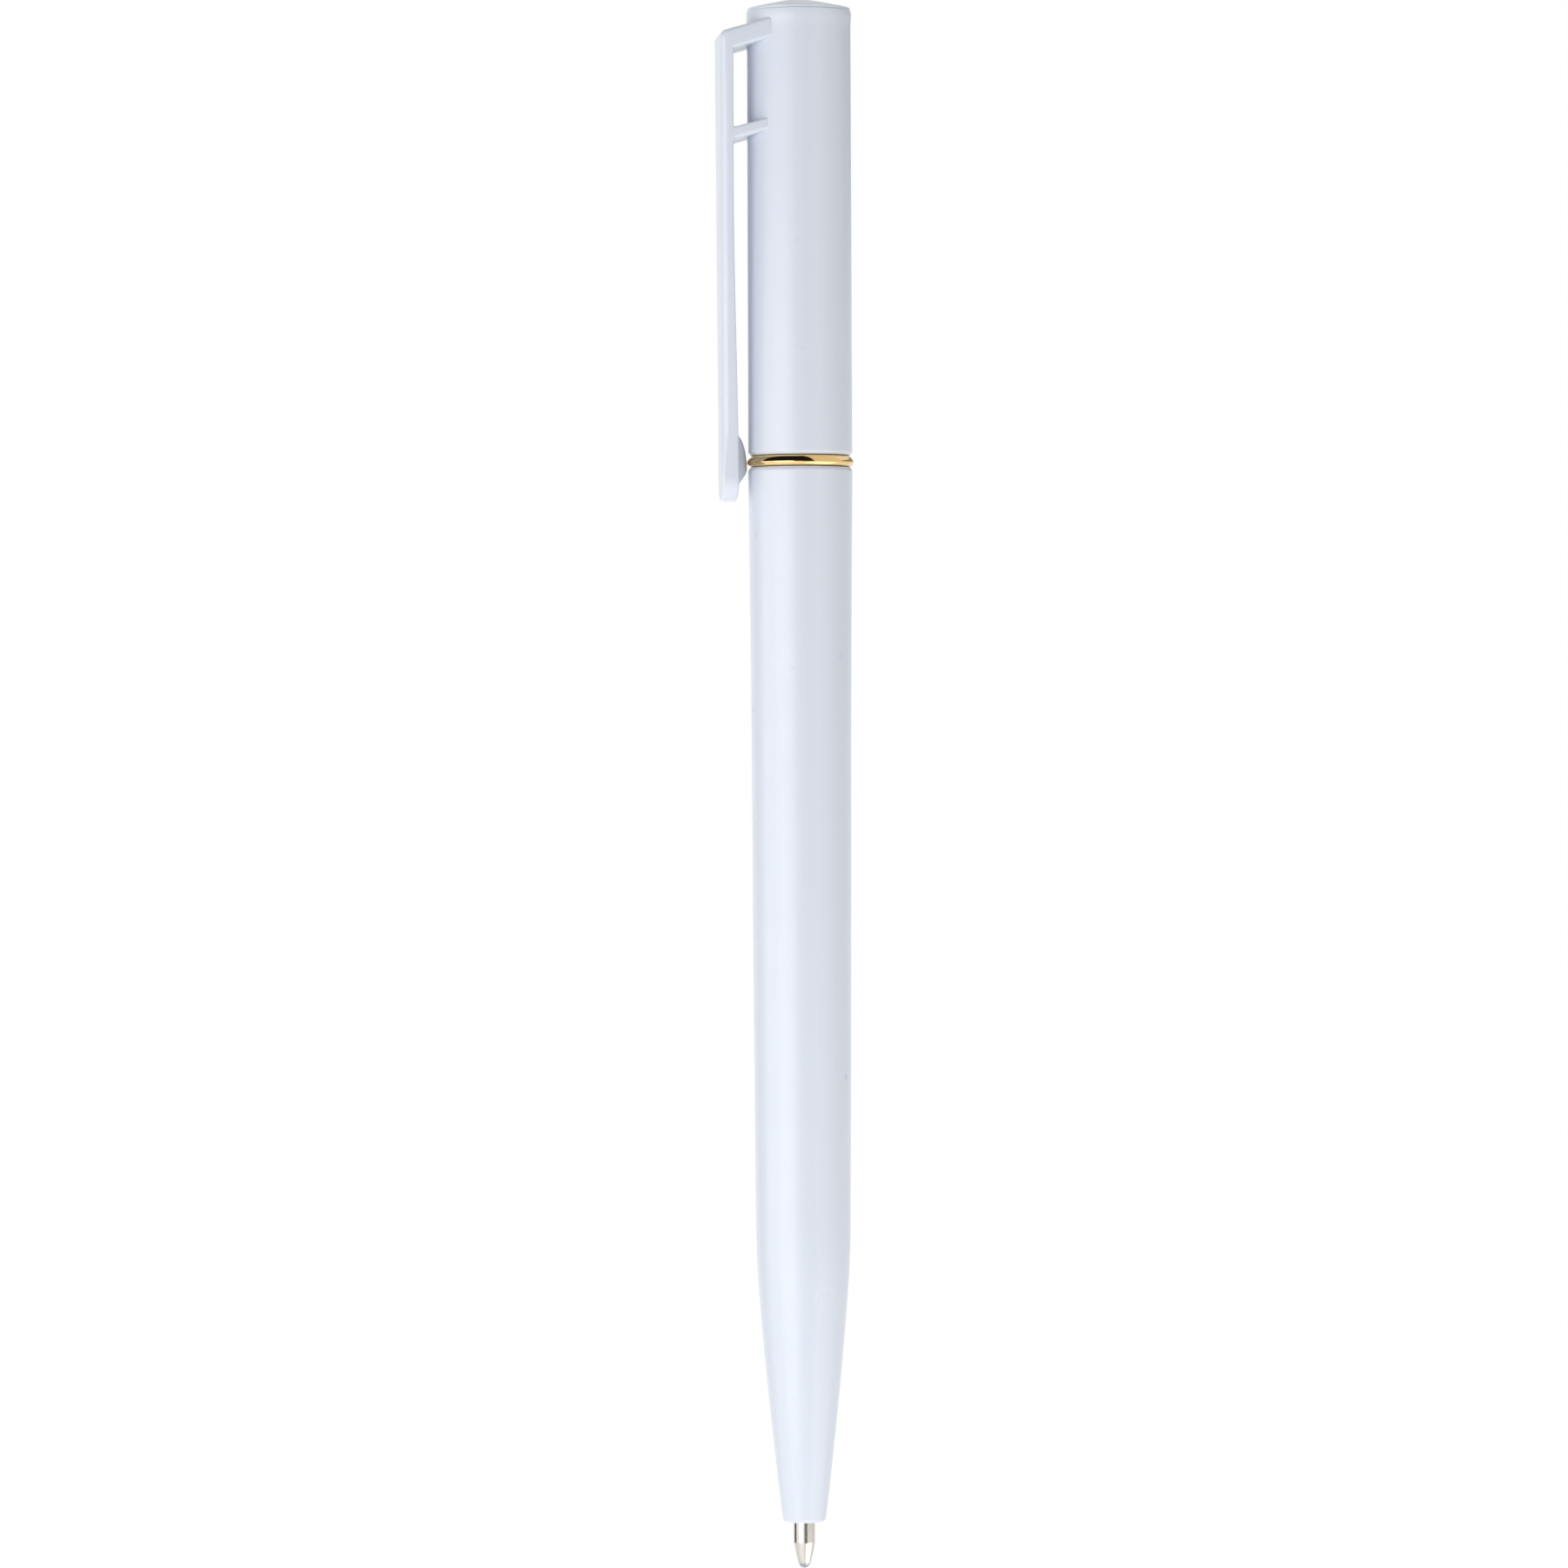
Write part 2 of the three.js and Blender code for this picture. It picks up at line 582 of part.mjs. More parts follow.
// The upper stretch of the clip's plate with both struts, down to the line where it flexes
function makeClipHead() {
  const footZ = FLEX_Z + FLEX_LINE / 2;
  return solid(sidePlate([
    [clipOuterAt(footZ), footZ],
    ...clipCorner(),
    ...strutOutline(STRUT_DROP, STRUT_HEIGHT),
    ...strutOutline(SECOND_STRUT_DROP, SECOND_STRUT_HEIGHT),
    [clipInnerAt(footZ), footZ],
  ], CLIP_WIDTH)).intersect(clipFront());
}

// Upper barrel with the struts and the head of the clip moulded on
function makeUpperBarrel() {
  const outside = solid(turned([
    [0, UPPER_Z],
    [UPPER_FOOT_RADIUS - UPPER_CHAMFER_WIDTH, UPPER_Z],
    [UPPER_FOOT_RADIUS, UPPER_Z + UPPER_CHAMFER_HEIGHT],
    [UPPER_TOP_RADIUS, RIM_Z - RIM_CHAMFER],
    [UPPER_TOP_RADIUS - RIM_CHAMFER, RIM_Z],
    [0, RIM_Z],
  ], BARREL_SIDES));
  const bore = solid(turned([
    [0, UPPER_Z - RUN_GAP],
    [UPPER_BORE, UPPER_Z - RUN_GAP],
    [UPPER_BORE, CAM_TOP_Z + SEAT_GAP],
    [HEAD_BORE, CAM_TOP_Z + SEAT_GAP],
    [HEAD_BORE, RIM_Z + RUN_GAP],
    [0, RIM_Z + RUN_GAP],
  ], BARREL_SIDES));
  return geometryOf(outside.add(makeClipHead()).subtract(bore));
}

// The springy lower stretch of the clip, with the bump that grips a pocket's edge
function makeClipArm() {
  const topZ = FLEX_Z - FLEX_LINE / 2;
  const flareZ = RIM_Z - CLIP_FLARE_START;
  const plate = solid(sidePlate([
    [clipOuterAt(topZ), topZ],
    [clipInnerAt(topZ), topZ],
    [clipInnerAt(flareZ), flareZ],
    [CLIP_END_INNER, CLIP_END_Z],
    [CLIP_END_OUTER, CLIP_END_Z],
  ], CLIP_WIDTH)).intersect(clipFront());
  return geometryOf(plate.add(solid(makeBump())));
}

// Half of the bump lies in the plate, and its crest stops just short of the ring
function makeBump() {
  const centreZ = CLIP_END_Z + BUMP_RISE;
  const base = clipInnerAt(centreZ);
  const crest = Math.max(RING_RADIUS, UPPER_FOOT_RADIUS) + BUMP_CLEARANCE;
  const bump = new THREE.SphereGeometry(1, BALL_SIDES, BALL_STEPS).rotateX(Math.PI / 2);
  const places = bump.attributes.position;
  for (let index = 0; index < places.count; index += 1) {
    const up = places.getZ(index);
    const stretch = up > 0 ? BUMP_HEIGHT_UP : BUMP_HEIGHT_DOWN;
    const inward = places.getX(index);
    const depth = inward > 0 ? base - crest : CLIP_END_THICKNESS / 2;
    places.setXYZ(
      index,
      -base + inward * depth,
      places.getY(index) * (BUMP_WIDTH / 2),
      centreZ + up * stretch,
    );
  }
  return bump;
}

// The push-in plug that closes the top, with a hollow stem
function makeTopPlug() {
  const seatZ = RIM_Z + SEAT_GAP;
  const edgeZ = seatZ + PLUG_RIM_HEIGHT;
  const stem = HEAD_BORE - PRESS_GAP;
  const hollow = stem - PLUG_STEM_WALL;
  const domeRadius = (PLUG_RADIUS ** 2 + PLUG_DOME_HEIGHT ** 2) / (2 * PLUG_DOME_HEIGHT);
  const domeCentre = edgeZ + PLUG_DOME_HEIGHT - domeRadius;
  const domeEdge = PLUG_RADIUS - PLUG_EDGE_RADIUS;
  const domeAngle = Math.acos(domeEdge / domeRadius);
  const dome = arc([0, domeCentre], domeRadius, domeAngle, Math.PI / 2, CURVE_STEPS);
  return turned([
    [0, seatZ],
    [hollow, seatZ],
    [hollow, seatZ - PLUG_STEM_LENGTH],
    [stem, seatZ - PLUG_STEM_LENGTH],
    [stem, seatZ],
    [PLUG_RADIUS, seatZ],
    [PLUG_RADIUS, edgeZ],
    ...dome.slice(0, -1),
    [0, edgeZ + PLUG_DOME_HEIGHT],
  ], BARREL_SIDES);
}

function piece(name, geometry, finish) {
  const mesh = new THREE.Mesh(geometry, finish);
  mesh.name = name;
  return mesh;
}

// The lower barrel and what stays still with it
function lowerAssembly() {
  const group = new THREE.Group();
  group.add(piece('lower_barrel', makeLowerBarrel(), finishes.shell));
  group.add(piece('centre_ring', makeCentreRing(), finishes.gold));
  group.add(piece('guide_sleeve', makeGuideSleeve(), finishes.acetal));
  group.add(piece('retaining_collar', makeRetainingCollar(), finishes.acetal));
  group.add(piece('return_spring', makeReturnSpring(), finishes.steel));
  return group;
}

// The upper barrel and what turns with it
function upperAssembly() {
  const group = new THREE.Group();
  group.add(piece('upper_barrel', makeUpperBarrel(), finishes.shell));
  group.add(piece('clip_arm', makeClipArm(), finishes.shell));
  group.add(piece('top_plug', makeTopPlug(), finishes.shell));
  group.add(piece('cam_tube', makeCamTube(), finishes.acetal));
  return group;
}

// The refill, with the plunger and pin that push it
function refillAssembly() {
  const group = new THREE.Group();
  group.add(piece('plunger', makePlunger(), finishes.acetal));
  group.add(piece('drive_pin', makeDrivePin(), finishes.steel));
  group.add(piece('refill_tube', makeRefillTube(), finishes.tube));
  group.add(piece('refill_ink', makeInk(), finishes.ink));
  group.add(piece('refill_socket', makeRefillSocket(), finishes.tube));
  group.add(piece('refill_point', makeRefillPoint(), finishes.nickel));
  group.add(piece('writing_ball', makeWritingBall(), finishes.carbide));
  return group;
}

const pen = new THREE.Group();
pen.add(lowerAssembly(), upperAssembly(), refillAssembly());
pen.position.z = -GRIP_HEIGHT;

export default pen;
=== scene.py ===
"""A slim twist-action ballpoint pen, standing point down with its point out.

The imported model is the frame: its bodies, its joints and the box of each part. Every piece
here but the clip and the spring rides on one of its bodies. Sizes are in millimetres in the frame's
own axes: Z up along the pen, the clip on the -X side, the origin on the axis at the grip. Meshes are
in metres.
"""

import logging
import math
from abc import ABC, abstractmethod
from collections.abc import Sequence
from dataclasses import dataclass
from enum import Enum

import bpy
import numpy as np
from mathutils import Matrix, Vector


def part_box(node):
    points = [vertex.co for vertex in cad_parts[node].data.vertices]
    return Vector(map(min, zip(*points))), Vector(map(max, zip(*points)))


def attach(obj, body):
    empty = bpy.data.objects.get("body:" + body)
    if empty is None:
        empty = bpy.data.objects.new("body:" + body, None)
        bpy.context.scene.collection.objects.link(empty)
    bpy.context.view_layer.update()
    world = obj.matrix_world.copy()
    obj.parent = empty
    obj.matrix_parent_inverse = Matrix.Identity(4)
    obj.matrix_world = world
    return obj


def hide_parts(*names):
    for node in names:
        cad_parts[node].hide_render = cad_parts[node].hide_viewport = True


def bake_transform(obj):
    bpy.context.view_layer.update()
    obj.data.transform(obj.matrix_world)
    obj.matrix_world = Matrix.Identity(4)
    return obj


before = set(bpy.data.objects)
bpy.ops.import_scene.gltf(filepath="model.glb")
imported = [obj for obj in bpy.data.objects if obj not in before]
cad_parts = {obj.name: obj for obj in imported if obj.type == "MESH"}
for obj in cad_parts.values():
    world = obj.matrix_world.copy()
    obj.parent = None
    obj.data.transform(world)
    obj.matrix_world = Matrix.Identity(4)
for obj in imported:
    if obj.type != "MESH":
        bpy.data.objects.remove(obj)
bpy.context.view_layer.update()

log = logging.getLogger("pen")

MM = 0.001

# Steps of the curved surfaces
TURNED_SIDES = 256
SMALL_TURNED_SIDES = 128
SIDE_STEPS = 28
FILLET_STEPS = 8
BEAD_STEPS = 24
DOME_STEPS = 40
POINT_STEPS = 16
BALL_STEPS = 48
MENISCUS_STEPS = 12
CUTTER_SIDES = 64
SPIRAL_STEPS = 96
SPIRAL_END_STEPS = 12
SHARP_ANGLE = math.radians(30)

# Stations along the clip, and columns across half of one of its faces
STRUT_STATIONS = 12
BEND_STATIONS = 17
HEAD_STATIONS = 15
PLATE_STATIONS = 47
EDGE_COLUMNS = 9
FLAT_COLUMNS = 24

# Distance from a rounding to the extra points that keep the flat beside it flat
FLAT_SUPPORT = 0.03

# Lengths in millimetres and angles in radians below this count as none
TINY = 1e-6
WELD_DECIMALS = 6

# Clearances between the parts, as in the solids
SEAT_GAP = 0.05
RUN_GAP = 0.1

# Nearly all of a noise texture lies between the first two, and the last is how fine it goes
NOISE_LOW = 0.3
NOISE_HIGH = 0.7
RELIEF_DETAIL = 2.0

WHITE = (1.0, 1.0, 1.0, 1.0)

# A point as (radius, height) or, where its corner is rounded, (radius, height, fillet), or an
# array of such points
OutlinePart = tuple[float, ...] | np.ndarray

# Short names for what materials are built of
Tree = bpy.types.NodeTree
Socket = bpy.types.NodeSocket


class Body(Enum):
    """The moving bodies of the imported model."""

    LOWER = "lower"
    UPPER = "upper"
    CLIP = "clip"
    REFILL = "refill"
    BALL = "ball"


class Slot(Enum):
    """The record's material slots."""

    BARREL = "barrel_plastic"
    RING = "ring_gold"
    MECHANISM = "mechanism_plastic"
    REFILL = "refill_plastic"
    INK = "ink"
    POINT = "point_metal"
    BALL = "ball_carbide"
    SPRING = "spring_steel"


class Operation(Enum):
    """What a second solid does to a piece."""

    JOIN = "UNION"
    CUT = "DIFFERENCE"


@dataclass(frozen=True)
class Extent:
    """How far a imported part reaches: its lowest and highest Z, and its reach towards each side."""

    foot: float
    top: float
    clip_side: float
    radius: float

    @classmethod
    def of(cls, node: str) -> "Extent":
        """Reads a part's box from the frame.

        Args:
            node: the part's name.

        Returns:
            Its extent in millimetres.
        """
        low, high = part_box(node)
        return cls(low.z / MM, high.z / MM, -low.x / MM, high.y / MM)


def side(start: tuple[float, float], start_slope: float, end: tuple[float, float],
         end_slope: float, steps: int = SIDE_STEPS) -> np.ndarray:
    """A smooth side whose radius is a cubic of the height.

    The radius is the Hermite cubic that has the slopes given, radius over height, at its ends.

    Args:
        start: radius and height of the lower end.
        start_slope: slope of the side there.
        end: radius and height of the upper end.
        end_slope: slope of the side there.
        steps: number of stretches.

    Returns:
        The points, both ends included.
    """
    share = np.linspace(0.0, 1.0, steps + 1)
    rise = end[1] - start[1]
    radius = (
        start[0] * (1 - share) ** 2 * (1 + 2 * share)
        + rise * start_slope * share * (1 - share) ** 2
        + end[0] * share ** 2 * (3 - 2 * share)
        - rise * end_slope * share ** 2 * (1 - share)
    )
    return np.column_stack([radius, start[1] + rise * share])


def arc(centre: tuple[float, float], radii: tuple[float, float], start: float, end: float,
        steps: int) -> np.ndarray:
    """An arc of an ellipse: centre plus (radii[0] cos angle, radii[1] sin angle).

    Args:
        centre: radius and height of its centre.
        radii: half its size across and half its size along.
        start: first angle, in radians.
        end: last angle.
        steps: number of stretches.

    Returns:
        The points, both ends included.
    """
    angle = np.linspace(start, end, steps + 1)
    return np.column_stack([
        centre[0] + radii[0] * np.cos(angle),
        centre[1] + radii[1] * np.sin(angle),
    ])


def rounded(parts: Sequence[OutlinePart]) -> np.ndarray:
    """Joins outline parts into a closed loop and rounds its corners.

    At a corner with half angle a, a rounding of radius f touches both sides at f / tan a from
    the corner, and its centre is f / sin a along the bisector. One more point on each side, at
    FLAT_SUPPORT or a third of the room that is left, keeps the flat beside it flat.

    Args:
        parts: the outline's points and arrays of points, in order round the loop.

    Returns:
        The loop's points as [radius, height], with no repeats.
    """
    spots = np.concatenate([
        np.pad(np.atleast_2d(part), ((0, 0), (0, 3 - np.shape(part)[-1]))) for part in parts
    ])
    places, fillets = spots[:, :2], spots[:, 2]
    before = np.roll(places, 1, axis=0) - places
    after = np.roll(places, -1, axis=0) - places
    room_before = np.maximum(np.linalg.norm(before, axis=1), TINY)
    room_after = np.maximum(np.linalg.norm(after, axis=1), TINY)
    before /= room_before[:, None]
    after /= room_after[:, None]
    half = np.arccos(np.clip((before * after).sum(axis=1), -1.0, 1.0)) / 2
    half = np.clip(half, TINY, math.pi / 2 - TINY)
    reach = fillets / np.tan(half)
    spare_before = room_before - reach - np.roll(reach, 1)
    spare_after = room_after - reach - np.roll(reach, -1)
    has = (fillets > 0)[:, None]
    lead = np.clip(spare_before / 3, 0, FLAT_SUPPORT)[:, None] * has
    tail = np.clip(spare_after / 3, 0, FLAT_SUPPORT)[:, None] * has
    first = places + before * reach[:, None]
    last = places + after * reach[:, None]
    bisector = before + after
    bisector /= np.maximum(np.linalg.norm(bisector, axis=1), TINY)[:, None]
    centre = places + bisector * (fillets / np.sin(half))[:, None] * has
    sweep = np.maximum(math.pi - 2 * half, TINY)
    share = np.linspace(0.0, 1.0, FILLET_STEPS + 1)
    from_first = np.sin((1 - share) * sweep[:, None]) / np.sin(sweep)[:, None]
    from_last = np.sin(share * sweep[:, None]) / np.sin(sweep)[:, None]
    bends = (
        centre[:, None]
        + from_first[..., None] * (first - centre)[:, None]
        + from_last[..., None] * (last - centre)[:, None]
    )
    sharp = np.repeat(places[:, None], FILLET_STEPS + 1, axis=1)
    bends = np.where(has[:, None], bends, sharp)
    loop = np.concatenate([
        (first + before * lead)[:, None],
        bends,
        (last + after * tail)[:, None],
    ], axis=1).reshape(-1, 2)
    step = np.linalg.norm(loop - np.roll(loop, 1, axis=0), axis=1)
    return loop[step > TINY]


def grid_faces(rows: int, columns: int, closed: bool) -> np.ndarray:
    """Quads of a grid whose columns wrap round.

    Args:
        rows: number of grid rows.
        columns: number of grid columns.
        closed: whether the last row joins the first.

    Returns:
        Four vertex numbers for each quad.
    """
    row = np.arange(rows if closed else rows - 1)[:, None]
    column = np.arange(columns)[None, :]
    above, beside = (row + 1) % rows, (column + 1) % columns
    return np.stack([
        row * columns + column,
        row * columns + beside,
        above * columns + beside,
        above * columns + column,
    ], axis=-1).reshape(-1, 4)


def signed_volume(places: np.ndarray, faces: np.ndarray) -> float:
    """Volume inside the triangles: a sixth of the sum of a . (b x c), above 0 if they face out."""
    a, b, c = (places[faces[:, index]] for index in range(3))
    return float(np.einsum("ij,ij->i", a, np.cross(b, c)).sum() / 6)


def add_object(name: str, data: bpy.types.ID) -> bpy.types.Object:
    """Adds an object to the scene, at the origin.

    Args:
        name: its name.
        data: its mesh, lamp or camera data.

    Returns:
        The new object.
    """
    added = bpy.data.objects.new(name, data)
    bpy.context.scene.collection.objects.link(added)
    return added


def make_piece(name: str, places: np.ndarray, quads: np.ndarray) -> bpy.types.Object:
    """Makes a closed, smooth-shaded piece from a grid.

    Points at the same place are welded. A quad with two corners welded becomes a triangle, and
    one that is no more than a line goes. Faces are turned to point outwards.

    Args:
        name: the piece's name.
        places: vertex places in millimetres.
        quads: four vertex numbers for each face.

    Returns:
        The new object, at the origin.
    """
    kept, index = np.unique(np.round(places, WELD_DECIMALS) + 0.0, axis=0, return_inverse=True)
    quads = index.reshape(-1)[quads]
    sorted_corners = np.sort(quads, axis=1)
    whole = (np.diff(sorted_corners, axis=1) > 0).all(axis=1)
    bent = quads[~whole]
    thirds = np.concatenate([bent[:, [0, 1, 2]], bent[:, [0, 2, 3]]])
    thirds = thirds[(np.diff(np.sort(thirds, axis=1), axis=1) > 0).all(axis=1)]
    halves = np.concatenate([quads[whole][:, [0, 1, 2]], quads[whole][:, [0, 2, 3]], thirds])
    turn = 1 if signed_volume(kept, halves) > 0 else -1
    faces = [face[::turn] for face in (*quads[whole].tolist(), *thirds.tolist())]
    mesh = bpy.data.meshes.new(name)
    mesh.from_pydata((kept * MM).tolist(), [], faces)
    mesh.validate()
    finish_mesh(mesh)
    return add_object(name, mesh)


def finish_mesh(mesh: bpy.types.Mesh) -> None:
    """Shades a mesh smooth, apart from its edges that turn by more than SHARP_ANGLE.

    Args:
        mesh: the mesh that is changed.
    """
    mesh.shade_smooth()
    mesh.set_sharp_from_angle(angle=SHARP_ANGLE)
    mesh.update()


def turned(name: str, parts: Sequence[OutlinePart],
           sides: int = TURNED_SIDES) -> bpy.types.Object:
    """A turned piece: its closed outline carried round the pen's axis.

    The point at angle a is (radius cos a, radius sin a, height).

    Args:
        name: the piece's name.
        parts: outline parts, up the outside and down the inside.
        sides: number of steps round the axis.

    Returns:
        The new object.
    """
    outline = rounded(parts)
    angle = np.linspace(0.0, 2 * math.pi, sides, endpoint=False)
    radius, height = outline[:, 0, None], outline[:, 1, None]
    places = np.stack([
        radius * np.cos(angle),
        radius * np.sin(angle),
        np.broadcast_to(height, (len(outline), sides)),
    ], axis=-1)
    return make_piece(name, places.reshape(-1, 3), grid_faces(len(outline), sides, closed=True))


def tube(name: str, bore: float, radius: float, part: Extent, bore_edge: float,
         edge: float) -> bpy.types.Object:
    """A plain turned tube with rounded ends.

    Args:
        name: the piece's name.
        bore: radius of its inside.
        radius: radius of its outside.
        part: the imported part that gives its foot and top.
        bore_edge: rounding of its two inner edges.
        edge: rounding of its two outer edges.

    Returns:
        The new object.
    """
    return turned(name, [
        (bore, part.foot, bore_edge),
        (radius, part.foot, edge),
        (radius, part.top, edge),
        (bore, part.top, bore_edge),
    ], SMALL_TURNED_SIDES)


def combined(piece: bpy.types.Object, tool: bpy.types.Object,
             operation: Operation) -> bpy.types.Object:
    """Joins a closed tool to a closed piece, or cuts it out of the piece.

    Args:
        piece: the piece that is changed.
        tool: the other solid, which is used up.
        operation: whether it is joined or cut out.

    Returns:
        The piece.
    """
    modifier = piece.modifiers.new("solid", "BOOLEAN")
    modifier.operation = operation.value
    modifier.solver = "EXACT"
    modifier.object = tool
    graph = bpy.context.evaluated_depsgraph_get()
    mesh = bpy.data.meshes.new_from_object(piece.evaluated_get(graph))
    piece.modifiers.clear()
    piece.data = mesh
    bpy.data.objects.remove(tool)
    finish_mesh(mesh)
    return piece


def linear(colour: str) -> tuple[float, float, float, float]:
    """Turns an sRGB colour into a linear one.

    Args:
        colour: its hex value, such as #E9EDF3.

    Returns:
        Linear red, green and blue, and 1.
    """
    channels = np.array([int(colour[at:at + 2], 16) for at in (1, 3, 5)]) / 255
    curved = ((channels + 0.055) / 1.055) ** 2.4
    red, green, blue = np.where(channels <= 0.04045, channels / 12.92, curved)
    return (float(red), float(green), float(blue), 1.0)


def per_mm(size: float) -> float:
    """Texture scale, in repeats per metre, of a pattern with features of a size in mm."""
    return 1 / (size * MM)


def add_node(tree: Tree, kind: str, values: dict[str | int, object] | None = None,
             links: dict[str | int, Socket] | None = None, **settings: object) -> bpy.types.Node:
    """Adds a node with its settings, socket values and incoming links.

    Args:
        tree: the node tree.
        kind: the node's type, such as ShaderNodeTexNoise.
        values: value of each input socket that is set.
        links: output socket that feeds each input socket.
        settings: the node's own properties.

    Returns:
        The new node.
    """
    node = tree.nodes.new(kind)
    for name, value in settings.items():
        setattr(node, name, value)
    for name, value in (values or {}).items():
        node.inputs[name].default_value = value
    for name, source in (links or {}).items():
        tree.links.new(source, node.inputs[name])
    return node


def blank_material(name: str) -> tuple[bpy.types.Material, Tree]:
    """A material with an empty node tree.

    Args:
        name: the material's name.

    Returns:
        The material and its tree.
    """
    material = bpy.data.materials.new(name)
    material.use_nodes = True
    material.node_tree.nodes.clear()
    return material, material.node_tree


@dataclass(frozen=True)
class Finish(ABC):
    """A real material and how its surface was made.

    Its tone and its roughness drift together in soft patches, and a finer pattern gives it
    relief.
    """

    name: str
    colour: str
    shade_colour: str
    roughness: float
    patch_size: float
    relief_size: float
    relief_height: float

    @abstractmethod
    def build(self) -> bpy.types.Material:
        """Makes the Blender material."""

    def drift(self, tree: Tree, place: Socket, swing: float,
              noise: dict[str, object]) -> tuple[Socket, Socket]:
        """Lets the tone and the roughness drift together in soft patches.

        Args:
            tree: the material's tree.
            place: the object coordinates.
            swing: largest change of the roughness, as a share of it.
            noise: how fine and how rough the patches' outlines are.

        Returns:
            The colour and the roughness.
        """
        patches = add_node(tree, "ShaderNodeTexNoise", {
            "Scale": per_mm(self.patch_size), **noise,
        }, {"Vector": place}).outputs["Fac"]
        tone = add_node(tree, "ShaderNodeMix", {
            "A": linear(self.colour), "B": linear(self.shade_colour),
        }, {"Factor": patches}, data_type="RGBA")
        gloss = add_node(tree, "ShaderNodeMapRange", {
            "From Min": NOISE_LOW, "From Max": NOISE_HIGH,
            "To Min": self.roughness * (1 - swing), "To Max": self.roughness * (1 + swing),
        }, {"Value": patches})
        return tone.outputs["Result"], gloss.outputs["Result"]

    def cover(self, tree: Tree, place: Socket, tone: Socket, gloss: Socket,
              values: dict[str, object]) -> None:
        """Adds the relief, and the shader that shows it with the colour and the roughness.

        Args:
            tree: the material's tree.
            place: the coordinates of the relief's pattern.
            tone: the colour.
            gloss: the roughness.
            values: the shader's other values.
        """
        relief = add_node(tree, "ShaderNodeTexNoise", {
            "Scale": per_mm(self.relief_size), "Detail": RELIEF_DETAIL,
        }, {"Vector": place})
        bump = add_node(tree, "ShaderNodeBump", {
            "Strength": 1.0, "Distance": self.relief_height * MM,
        }, {"Height": relief.outputs["Fac"]})
        shader = add_node(tree, "ShaderNodeBsdfPrincipled", values, {
            "Base Color": tone, "Roughness": gloss, "Normal": bump.outputs["Normal"],
        })
        add_node(tree, "ShaderNodeOutputMaterial", None, {"Surface": shader.outputs["BSDF"]})


@dataclass(frozen=True)
class MouldedPlastic(Finish):
    """Injection-moulded plastic, satin from the mould's fine grain.

    It gives soft broad highlights, a faint unevenness of tone, and where it has been handled
    a few dull smudges: one here and there among cells of smudge_spacing, at its full strength
    up to the share smudge_core of its radius and gone at the share smudge_rim.
    """

    ior: float
    roughness_swing: float = 0.1
    flow_detail: float = 3.0
    flow_roughness: float = 0.55
    smudge_colour: str | None = None
    smudge_spacing: float = 4.3
    smudge_radius: float = 0.34
    smudge_core: float = 0.3
    smudge_rim: float = 1.6
    smudge_free_share: float = 0.62
    smudge_strength: float = 0.55
    smudge_roughness: float = 0.3

    def build(self) -> bpy.types.Material:
        """Makes the Blender material.

        Returns:
            The material.
        """
        material, tree = blank_material(self.name)
        place = add_node(tree, "ShaderNodeTexCoord").outputs["Object"]
        # Flow of the melt: a tone that drifts over several millimetres
        tone, gloss = self.drift(tree, place, self.roughness_swing, {
            "Detail": self.flow_detail, "Roughness": self.flow_roughness,
        })
        if self.smudge_colour:
            tone, gloss = self.add_smudges(tree, place, tone, gloss)
        # The mould's grain is finer than a pixel, so it is drawn as coarse as it needs to show
        self.cover(tree, place, tone, gloss, {"IOR": self.ior})
        return material

    def add_smudges(self, tree: Tree, place: Socket, tone: Socket,
                    gloss: Socket) -> tuple[Socket, Socket]:
        """Adds the smudges, each of its own strength.

        Args:
            tree: the material's tree.
            place: the object coordinates.
            tone: the colour so far.
            gloss: the roughness so far.

        Returns:
            The colour and roughness with the smudges.
        """
        cells = add_node(tree, "ShaderNodeTexVoronoi", {
            "Scale": per_mm(self.smudge_spacing), "Randomness": 1.0,
        }, {"Vector": place})
        cell_radius = self.smudge_radius / self.smudge_spacing
        spot = add_node(tree, "ShaderNodeMapRange", {
            "From Min": self.smudge_core * cell_radius,
            "From Max": self.smudge_rim * cell_radius,
            "To Min": 1.0, "To Max": 0.0,
        }, {"Value": cells.outputs["Distance"]}, interpolation_type="SMOOTHSTEP")
        lot = add_node(tree, "ShaderNodeSeparateColor", None, {"Color": cells.outputs["Color"]})
        strength = add_node(tree, "ShaderNodeMapRange", {
            "From Min": self.smudge_free_share, "From Max": 1.0,
            "To Min": 0.0, "To Max": self.smudge_strength,
        }, {"Value": lot.outputs["Red"]})
        amount = add_node(tree, "ShaderNodeMath", None, {
            0: spot.outputs["Result"], 1: strength.outputs["Result"],
        }, operation="MULTIPLY").outputs["Value"]
        smudged = add_node(tree, "ShaderNodeMix", {"B": linear(self.smudge_colour)}, {
            "Factor": amount, "A": tone,
        }, data_type="RGBA")
        dulled = add_node(tree, "ShaderNodeMath", {1: self.smudge_roughness}, {
            0: amount,
        }, operation="MULTIPLY")
        rough = add_node(tree, "ShaderNodeMath", None, {
            0: gloss, 1: dulled.outputs["Value"],
        }, operation="ADD")
        return smudged.outputs["Result"], rough.outputs["Value"]


